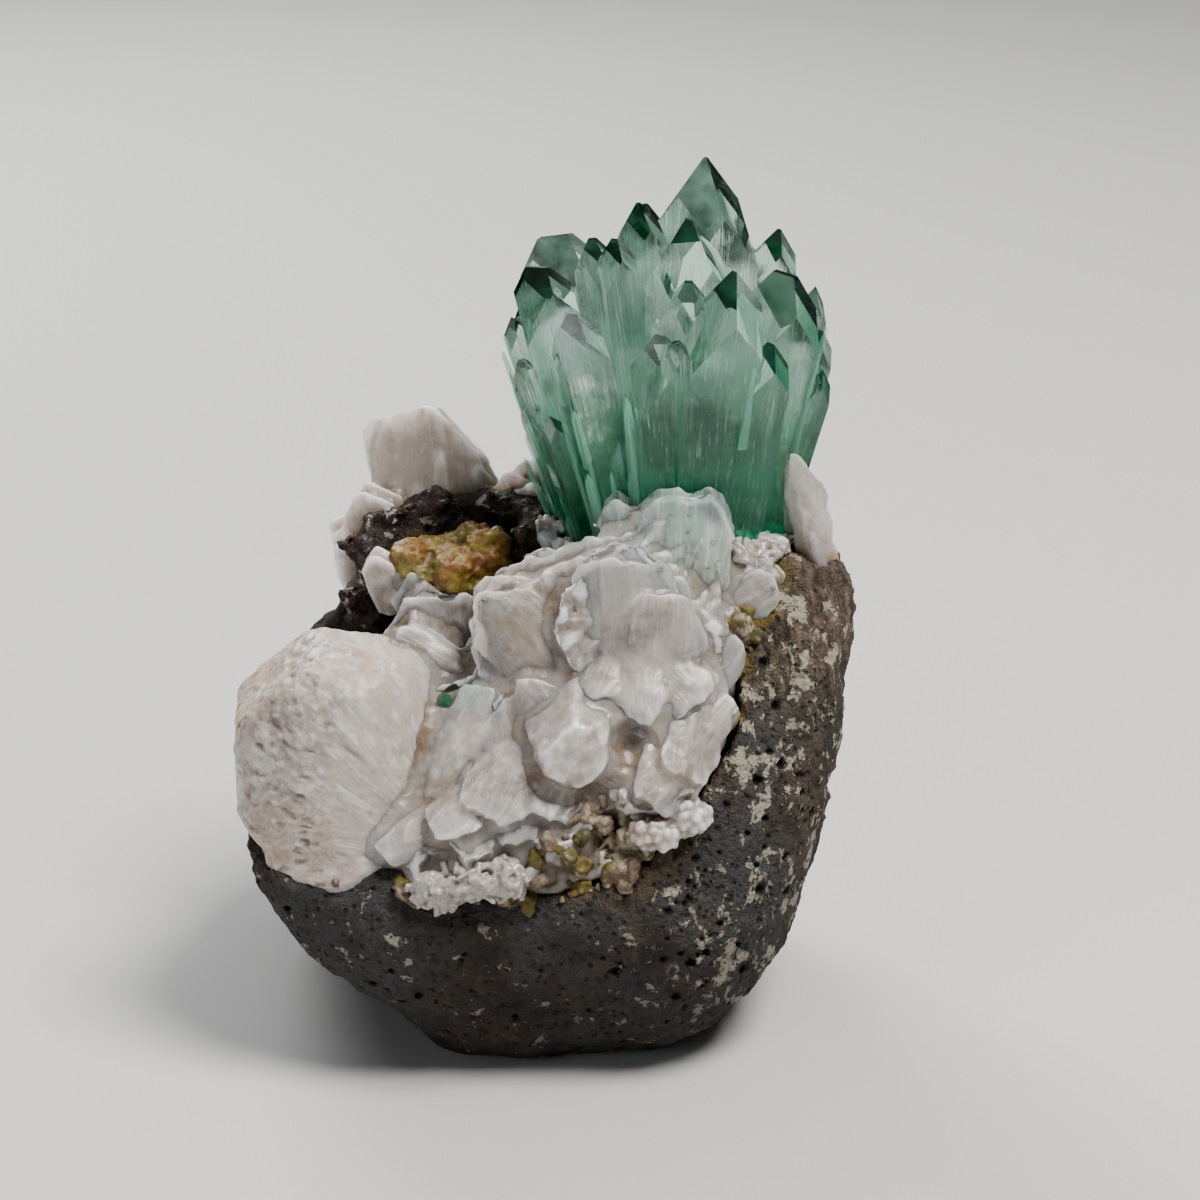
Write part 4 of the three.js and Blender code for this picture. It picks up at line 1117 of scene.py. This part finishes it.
def dome_material(settings):
    f = Finish("fibrous stilbite")
    broken = f.attribute("broken")
    arm = f.node("VectorMath", {0: f.place, 1: tuple(FIBRE_ROOT * MM)}, operation="SUBTRACT")
    way = f.node("VectorMath", {0: arm}, operation="NORMALIZE")
    fibres = f.node("TexNoise", {"Vector": way, "Scale": 28, "Detail": 5, "Roughness": 0.7})
    dashes = f.noise(1.0, 4, roughness=0.65)
    clouds, banks = f.noise(8, 4), f.noise(3.2, 4)
    white = f.mix(f.spread(clouds, 0.36, 0.62), settings.cream, (0.55, 0.51, 0.475))
    grey = f.times(f.spread(banks, 0.44, 0.64), f.spread(broken, 0, 1, 0.15, 0.8))
    white = f.mix(grey, white, (0.34, 0.29, 0.275))
    mottle = f.times(f.spread(dashes, 0.46, 0.62), f.spread(fibres, 0.42, 0.56))
    white = f.mix(f.times(mottle, f.spread(broken, 0, 1, 0.15, 0.75)), white, (0.25, 0.215, 0.20))
    bright = f.times(f.spread(fibres, 0.48, 0.60), f.spread(f.noise(2.5, 4), 0.40, 0.58))
    white = f.mix(f.times(bright, 0.75), white, (0.74, 0.72, 0.69))
    chalk = f.times(f.spread(dashes, 0.46, 0.30), f.spread(broken, 0, 1, 0.2, 0.55))
    white = f.mix(chalk, white, (0.70, 0.675, 0.65))
    peach = f.times(f.attribute("warm"), f.spread(banks, 0.36, 0.56, 0.25, 1))
    white = f.mix(f.times(peach, 0.6), white, (0.56, 0.39, 0.26))
    white = f.mix(f.times(f.attribute("pits"), 0.9), white, (0.26, 0.20, 0.17))
    # Painted shade in the crevices and a painted highlight on the edges and tips.
    white = f.mix(f.times(f.spread(f.attribute("crevice"), 0.25, 1.2), 0.5), white, (0.42, 0.33, 0.26))
    white = f.mix(f.times(f.spread(f.attribute("crevice"), -0.35, -1.0), 0.5), white, (0.78, 0.76, 0.75))
    f.set(
        Base_Color=white,
        Subsurface_Weight=0.7,
        Subsurface_Radius=(1.0, 0.82, 0.66),
        Subsurface_Scale=2.6 * MM,
        Roughness=f.spread(dashes, 0.3, 0.7, 0.30, 0.62),
        Coat_Weight=0.15,
        Coat_Roughness=0.2,
    )
    height = f.math("ADD", f.times(fibres, 0.7), f.times(dashes, 0.6))
    f.set(Normal=f.bump(height, 0.25, 0.7))
    return f.material


# The crevice in which the small green crystal stands: the middle and reach of the dent, in millimetres.
NOTCH, NOTCH_REACH = (-12.4, -19, 44.5), 6.6


def make_bed(settings):
    """The body of the crust: drawn in under the sheaves, and carried on to the rock along its rim."""
    bed = cad_copy("stilbite_crust", "stilbite_bed")
    modify(bed, "REMESH", mode="VOXEL", voxel_size=0.64 * MM, use_smooth_shade=True)
    modify(bed, "SMOOTH", factor=0.5, iterations=4)
    points, normals = points_of(bed), normals_of(bed)
    rim = np.clip(1.6 - gap_to(points, bpy.data.objects["basalt"]) / MM / 1.1, 0, 1)
    tan = nearness(points, TAN_SPOTS)
    relief = -0.9 + 1.1 * rim + 1.6 * tan * (1 - rim)
    relief += (0.8 + 0.8 * tan) * (1 - rim) * lumps(points, 1.5 * MM, 31)
    relief += 0.25 * rough(points, 1.5 * MM, 32)
    points = points + normals * (relief * MM)[:, None]
    arms = points / MM - np.array(DOME_CENTRE)
    reach = np.linalg.norm(arms, axis=1)
    outside = reach - dome_reach(arms / reach[:, None])
    covered = np.maximum(np.clip((3.0 - outside) / 1.5, 0, 1), np.clip((-15 - points[:, 0] / MM) / 4, 0, 1))
    sunk = covered * np.clip(outside + 1.4, 0, None)
    points = points - arms * (sunk * MM / reach)[:, None]
    arms = points / MM - np.array(NOTCH)
    reach = np.linalg.norm(arms, axis=1)
    points += arms * (np.clip(NOTCH_REACH - reach, 0, None) * MM / reach)[:, None]
    set_points(bed, points)
    write(bed, "across", points[:, 0] / MM)
    write(bed, "along", points[:, 2] / (8 * MM))
    write(bed, "leaf", np.zeros(len(points)))
    return finish_stilbite(bed, settings, "stilbite_crust", grain=0)


# Where small crystals crowd, over the rim at the front, beside the ledge and along the right of the hollow,
# and where crumbs of altered rock do: centres and reach in millimetres.
DRUSE_SPOTS = (
    ((-13.0, -28.6, 26.4), 3.4), ((-8.5, -28.6, 26.6), 3.4), ((-4.5, -27.6, 28.2), 2.6),
    ((0.6, 8.0, 60.5), 3.4), ((27.0, -4.6, 61.5), 3.0), ((22.8, -6.0, 62.0), 1.8),
)
CRUMB_SPOTS = (
    ((-5.2, -28.5, 25.9), 4.4), ((4.7, -26.5, 35.7), 3.2), ((1.8, -28, 29), 4.4), ((-16.3, -28, 27.0), 2.6),
    ((19.8, -18.4, 46.2), 3.6), ((22.9, -9.4, 52.2), 3.6), ((9.5, -27.6, 31.0), 4.6),
    ((-19, 11.5, 60.4), 3.0), ((-30, -19, 26), 2.2), ((-22, -25, 26), 2.0),
)
# Larger blocks of altered rock that fill the gap below the round lump: middle and width in millimetres.
BLOCKS = (
    ((7.3, -22.6, 35.6), 3.2), ((4.6, -23.8, 34.6), 2.8), ((9.6, -23.2, 34.0), 3.0),
    ((6.6, -24.4, 33.2), 3.0), ((2.2, -24.8, 32.6), 2.6), ((12.0, -23.2, 34.4), 2.6),
    ((9.8, -25.4, 32.0), 2.8), ((-24.5, -25.5, 26.6), 1.6),
)


def block(bevel, waist, cuts=0):
    """A small crystal with bevelled edges, narrower at its foot."""
    bpy.ops.mesh.primitive_cube_add(size=1)
    seedling = bpy.context.object
    edit(seedling, (bpy.ops.mesh.bevel, {"offset": bevel, "segments": 1, "affect": "EDGES"}))
    if cuts:
        edit(seedling, (bpy.ops.mesh.subdivide, {"number_cuts": cuts}))
    shape = points_of(seedling)
    shape[:, 2] += 0.25
    shape[:, 0] *= np.where(shape[:, 2] > 0.25, 1.0, waist)
    set_points(seedling, shape)
    return seedling


def sprinkle(name, seedling, host, spots, count, spans, lean, seed, beside=None, uneven=0):
    """Copies of a small crystal that stand on a host near the spots, and near another piece if given."""
    picker = np.random.RandomState(seed)
    points, normals = points_of(host), normals_of(host)
    weight = nearness(points, spots) ** 2 * np.clip(normals[:, 2] * 0.8 - normals[:, 1], 0, 1)
    if beside:
        weight *= np.clip(1.6 - gap_to(points, beside) / (1.2 * MM), 0, 1)
    crystals = []
    for i in scatter(count, seed, weight):
        grown = twin(seedling)
        way = (Vector(normals[i]) + Vector(picker.uniform(-lean, lean, 3))).normalized()
        turn = way.to_track_quat("Z", "X").to_matrix().to_4x4()
        turn = turn @ Matrix.Rotation(picker.uniform(0, math.pi), 4, "Z")
        scale = [picker.uniform(low, high) * MM for low, high in spans]
        if uneven:
            shape = points_of(grown)
            set_points(grown, shape * (1 + uneven * rough(shape, 0.8, 50 * picker.rand(), 3))[:, None])
        grown.data.transform(Matrix.Translation(points[i]) @ turn @ Matrix.Diagonal((*scale, 1)))
        write(grown, "leaf", np.full(len(grown.data.vertices), picker.rand()))
        crystals.append(grown)
    bpy.data.objects.remove(seedling)
    group = joined(crystals, name)
    shade(group, 20)
    return group


def grow_together(group, voxel, rounds):
    """Makes one closed body of crystals that overlap, keeping which one each part of it was."""
    guide = twin(group)
    modify(group, "REMESH", mode="VOXEL", voxel_size=voxel * MM, use_smooth_shade=True)
    modify(group, "SMOOTH", factor=0.5, iterations=rounds)
    carry(guide, group, ("leaf",))
    bpy.data.objects.remove(guide)
    shade(group, 40)


def make_druse():
    """Small tabular crystals that stand in the crevices of the crust."""
    bed = bpy.data.objects["stilbite_bed"]
    spans = ((0.9, 2.6), (0.35, 0.9), (0.8, 2.0))
    druse = sprinkle("stilbite_druse", block(0.12, 0.6), bed, DRUSE_SPOTS, 270, spans, 0.7, 17)
    grow_together(druse, 0.18, 1)
    return done(druse, "stilbite", druse_material(), "stilbite_crust")


def druse_material():
    f = Finish("small clear crystals")
    grain = f.noise(0.6, 3)
    tint = f.mix(f.spread(f.attribute("leaf"), 0, 1), (0.36, 0.335, 0.31), (0.44, 0.40, 0.35))
    tint = f.mix(f.spread(grain, 0.45, 0.7), tint, (0.50, 0.48, 0.46))
    f.set(
        Base_Color=tint, Roughness=f.spread(grain, 0.3, 0.7, 0.12, 0.4), Specular_IOR_Level=0.6,
        Subsurface_Weight=0.7, Subsurface_Radius=(1.0, 0.88, 0.80), Subsurface_Scale=2.0 * MM,
    )
    f.set(Normal=f.bump(grain, 0.15, 0.5))
    return f.material


def make_crumbs():
    """Ochre, olive and tan crumbs of altered rock along the rim of the crust."""
    rock, bed = bpy.data.objects["basalt"], bpy.data.objects["stilbite_bed"]
    small, large = ((0.3, 1.2), (0.3, 1.0), (0.3, 0.8)), ((1.4, 3.4), (1.2, 2.6), (0.9, 1.8))
    crumbs = [
        sprinkle("rim_crumbs", block(0.14, 0.9, 2), rock, CRUMB_SPOTS, 150, small, 0.6, 19, bed, 0.25),
        sprinkle("rim_crumbs", block(0.14, 0.9, 3), rock, CRUMB_SPOTS, 34, large, 0.6, 21, bed, 0.3),
        sprinkle("rim_crumbs", block(0.14, 0.9, 2), bed, TAN_SPOTS, 50, small, 0.6, 20, None, 0.25),
        sprinkle("rim_crumbs", block(0.14, 0.9, 3), bed, TAN_SPOTS, 16, large, 0.6, 22, None, 0.3),
    ]
    picker = random.Random(26)
    for centre, width in BLOCKS:
        chunk = block(0.16, 0.95, 3)
        shape = points_of(chunk) * (1 + 0.22 * rough(points_of(chunk), 0.7, 40 * picker.random(), 3))[:, None]
        set_points(chunk, shape * np.array([width, width * 0.8, width * 0.7]) * MM)
        turn = Matrix.Rotation(picker.uniform(-0.5, 0.5), 4, "X")
        turn = turn @ Matrix.Rotation(picker.uniform(0, 3), 4, "Z")
        chunk.data.transform(Matrix.Translation(Vector(centre) * MM) @ turn)
        write(chunk, "leaf", np.full(len(shape), picker.uniform(0.55, 0.95)))
        crumbs.append(chunk)
    crumbs = joined(crumbs, "rim_crumbs")
    grow_together(crumbs, 0.2, 1)
    points, normals = points_of(crumbs), normals_of(crumbs)
    set_points(crumbs, points + normals * (0.12 * rough(points, 0.7 * MM, 25))[:, None] * MM)
    return done(crumbs, "clay", crumb_material(), "stilbite_crust")


def crumb_material():
    f = Finish("ochre crumbs")
    pick = f.attribute("leaf")
    tint = f.mix(f.spread(pick, 0.30, 0.34), (0.17, 0.135, 0.035), (0.115, 0.105, 0.045))
    tint = f.mix(f.spread(pick, 0.50, 0.54), tint, (0.20, 0.145, 0.105))
    tint = f.mix(f.spread(pick, 0.76, 0.80), tint, (0.37, 0.315, 0.235))
    grain = f.noise(0.7, 4, roughness=0.65)
    tint = f.mix(f.times(f.spread(grain, 0.40, 0.68), 0.7), tint, (0.075, 0.055, 0.03))
    tint = f.mix(f.times(f.spread(f.noise(1.6, 4), 0.55, 0.66), 0.6), tint, (0.40, 0.36, 0.28))
    f.set(Base_Color=tint, Roughness=f.spread(grain, 0.3, 0.7, 0.4, 0.75), Specular_IOR_Level=0.45)
    f.set(Normal=f.bump(grain, 0.3, 0.8))
    return f.material


def mark_seam():
    """Marks the rock's surface where the crystals meet it."""
    rock = bpy.data.objects["basalt"]
    names = ("stilbite_bed", "stilbite_back_blades", "stilbite_edges", "stilbite_rim", "clay")
    gap = gap_to(points_of(rock), *(bpy.data.objects[name] for name in names))
    write(rock, "seam", np.clip(1.6 - gap / (1.1 * MM), 0, 1))


# ---- Clay ---------------------------------------------------------------------------------------------

CLAY_LUMPS = (
    ((-16.5, 3.2, 56.6), 3.2), ((-7.6, 3.6, 57.6), 3.4), ((-11.6, 1.6, 55.6), 3.6), ((-9, 6.5, 58.4), 2.6),
)


def make_clay(settings):
    clay = with_balls(cad_copy("clay_pocket", "clay"), CLAY_LUMPS, "clay")
    modify(clay, "REMESH", mode="VOXEL", voxel_size=0.3 * MM, use_smooth_shade=True)
    points, normals = points_of(clay), normals_of(clay)
    relief = 0.8 * rough(points, 3.4 * MM, 41) + 0.5 * lumps(points, 1.8 * MM, 43) - 0.2
    relief += 0.26 * rough(points, 0.9 * MM, 42)
    set_points(clay, points + normals * (relief * MM)[:, None])
    write(clay, "crevice", crevices(clay, 12) / (0.3 * MM))
    shade(clay, 60)
    return done(clay, "clay", clay_material(settings), "clay_pocket")


def clay_material(settings):
    f = Finish("ochre clay")
    clouds, grain = f.noise(4, 4), f.noise(0.6, 5, roughness=0.65)
    ochre = f.mix(f.spread(clouds, 0.38, 0.60, smooth=True), settings.yellow, settings.orange)
    banks = f.noise(6, 3, vector=f.scaled((1, 1, 1), (1, 0.4, 2)))
    ochre = f.mix(f.spread(banks, 0.52, 0.66), ochre, (0.20, 0.17, 0.05))
    # Painted highlight: the raised grains are painted a paler yellow.
    ochre = f.mix(f.times(f.spread(grain, 0.45, 0.7), 0.5), ochre, (0.36, 0.27, 0.09))
    ochre = f.mix(f.times(f.spread(f.noise(2.4, 4), 0.56, 0.66), 0.45), ochre, (0.40, 0.32, 0.11))
    # Painted shade: the crevices are painted dark brown.
    ochre = f.mix(f.times(f.spread(f.attribute("crevice"), 0.15, 1.2), 0.75), ochre, (0.10, 0.055, 0.02))
    f.set(
        Base_Color=ochre, Roughness=f.spread(grain, 0.3, 0.7, 0.22, 0.5), Specular_IOR_Level=0.6,
        Subsurface_Weight=0.2, Subsurface_Radius=(1.0, 0.6, 0.3), Subsurface_Scale=0.8 * MM,
    )
    f.set(Normal=f.bump(grain, 0.3, 0.7))
    return f.material


# ---- Stage --------------------------------------------------------------------------------------------


def make_stage(settings):
    bpy.ops.mesh.primitive_circle_add(vertices=128, radius=FLOOR_RADIUS, fill_type="NGON", location=(0, 0, 0))
    floor = bpy.context.object
    floor.name = "floor"
    f = Finish("plain floor")
    f.set(Base_Color=(*settings.floor, 1), Roughness=0.7, Specular_IOR_Level=0.2)
    floor.data.materials.append(f.material)

    world = bpy.data.worlds.new("soft room")
    bpy.context.scene.world = world
    world.use_nodes = True
    world.node_tree.nodes["Background"].inputs["Color"].default_value = ROOM_TINT
    world.node_tree.nodes["Background"].inputs["Strength"].default_value = ROOM_LIGHT
    for row in LAMPS:
        lamp(*row)

    camera = bpy.data.objects.new("camera", bpy.data.cameras.new("camera"))
    bpy.context.scene.collection.objects.link(camera)
    camera.data.lens = LENS
    camera.data.sensor_width = PICTURE
    camera.data.clip_start = 0.01
    low, high = CAD_BOX
    target = Vector((VIEW_ASIDE, 0, (low.z + high.z) / 2 + VIEW_ABOVE))
    rise = math.radians(VIEW_RISE)
    camera.location = target + VIEW_DISTANCE * Vector((0, -math.cos(rise), math.sin(rise)))
    camera.rotation_euler = (target - camera.location).to_track_quat("-Z", "Y").to_euler()
    bpy.context.scene.camera = camera
    scene = bpy.context.scene
    scene.cycles.diffuse_bounces = 2
    scene.cycles.glossy_bounces = 2
    scene.cycles.max_bounces = 6
    scene.cycles.transmission_bounces = 6
    scene.view_settings.view_transform = "AgX"
    scene.view_settings.look = "AgX - Medium High Contrast"


def lamp(name, place, width, power, tint):
    light = bpy.data.objects.new(name, bpy.data.lights.new(name, "AREA"))
    bpy.context.scene.collection.objects.link(light)
    light.data.shape = "DISK"
    light.data.size = width
    light.data.energy = power
    light.data.color = tint
    light.location = place
    light.rotation_euler = (LAMP_AIM - Vector(place)).to_track_quat("-Z", "Y").to_euler()


# ---- The add-on ---------------------------------------------------------------------------------------


class SPECIMEN_OT_basalt(bpy.types.Operator):
    """Makes the weathered basalt"""

    bl_idname = "specimen.basalt"
    bl_label = "Basalt"

    def execute(self, context):
        make_basalt(context.scene.specimen_basalt)
        return {"FINISHED"}


class SPECIMEN_OT_spray(bpy.types.Operator):
    """Makes the spray of green crystals"""

    bl_idname = "specimen.spray"
    bl_label = "Apophyllite spray"

    def execute(self, context):
        make_spray(context.scene.specimen_apophyllite)
        return {"FINISHED"}


class SPECIMEN_OT_dome(bpy.types.Operator):
    """Makes the large rounded stilbite mass at the left"""

    bl_idname = "specimen.dome"
    bl_label = "Stilbite dome"

    def execute(self, context):
        make_dome(context.scene.specimen_stilbite)
        return {"FINISHED"}


class SPECIMEN_OT_bed(bpy.types.Operator):
    """Makes the crust that the stilbite sheaves grow from"""

    bl_idname = "specimen.bed"
    bl_label = "Stilbite bed"

    def execute(self, context):
        make_bed(context.scene.specimen_stilbite)
        return {"FINISHED"}


class SPECIMEN_OT_sheaves(bpy.types.Operator):
    """Makes the stilbite sheaves in the hollow and round the spray"""

    bl_idname = "specimen.sheaves"
    bl_label = "Stilbite sheaves"

    def execute(self, context):
        make_sheaves(context.scene.specimen_stilbite)
        return {"FINISHED"}


class SPECIMEN_OT_druse(bpy.types.Operator):
    """Makes the small crystals that stand in the crevices"""

    bl_idname = "specimen.druse"
    bl_label = "Stilbite druse"

    def execute(self, context):
        make_druse()
        return {"FINISHED"}


class SPECIMEN_OT_clay(bpy.types.Operator):
    """Makes the ochre clay at the back of the hollow"""

    bl_idname = "specimen.clay"
    bl_label = "Clay"

    def execute(self, context):
        make_clay(context.scene.specimen_clay)
        return {"FINISHED"}


class SPECIMEN_OT_crumbs(bpy.types.Operator):
    """Makes the ochre and tan crumbs along the rim"""

    bl_idname = "specimen.crumbs"
    bl_label = "Rim crumbs"

    def execute(self, context):
        make_crumbs()
        return {"FINISHED"}


class SPECIMEN_OT_seam(bpy.types.Operator):
    """Marks the rock where the crystals meet it"""

    bl_idname = "specimen.seam"
    bl_label = "Stained seam"

    def execute(self, context):
        mark_seam()
        return {"FINISHED"}


class SPECIMEN_OT_stage(bpy.types.Operator):
    """Makes the floor, the lights and the camera"""

    bl_idname = "specimen.stage"
    bl_label = "Stage"

    def execute(self, context):
        make_stage(context.scene.specimen_stage)
        return {"FINISHED"}


SETTINGS = {
    "specimen_basalt": BasaltSettings,
    "specimen_apophyllite": ApophylliteSettings,
    "specimen_stilbite": StilbiteSettings,
    "specimen_clay": ClaySettings,
    "specimen_stage": StageSettings,
}
OPERATORS = (
    SPECIMEN_OT_basalt, SPECIMEN_OT_spray, SPECIMEN_OT_dome, SPECIMEN_OT_bed, SPECIMEN_OT_sheaves,
    SPECIMEN_OT_druse, SPECIMEN_OT_clay, SPECIMEN_OT_crumbs, SPECIMEN_OT_seam, SPECIMEN_OT_stage,
)


class SPECIMEN_PT_panel(bpy.types.Panel):
    bl_label = "Specimen"
    bl_space_type = "VIEW_3D"
    bl_region_type = "UI"
    bl_category = "Specimen"

    def draw(self, context):
        for operator in OPERATORS:
            self.layout.operator(operator.bl_idname)
        for name, group in SETTINGS.items():
            for key in group.__annotations__:
                self.layout.prop(getattr(context.scene, name), key)


def register():
    for kind in (*SETTINGS.values(), *OPERATORS, SPECIMEN_PT_panel):
        bpy.utils.register_class(kind)
    for name, group in SETTINGS.items():
        setattr(bpy.types.Scene, name, bpy.props.PointerProperty(type=group))


def unregister():
    for name in SETTINGS:
        delattr(bpy.types.Scene, name)
    for kind in (SPECIMEN_PT_panel, *reversed(OPERATORS), *reversed(list(SETTINGS.values()))):
        bpy.utils.unregister_class(kind)


def main():
    register()
    bpy.ops.specimen.basalt()
    bpy.ops.specimen.spray()
    bpy.ops.specimen.dome()
    bpy.ops.specimen.bed()
    bpy.ops.specimen.sheaves()
    bpy.ops.specimen.druse()
    bpy.ops.specimen.clay()
    bpy.ops.specimen.crumbs()
    bpy.ops.specimen.seam()
    bpy.ops.specimen.stage()


if __name__ == "__main__":
    main()
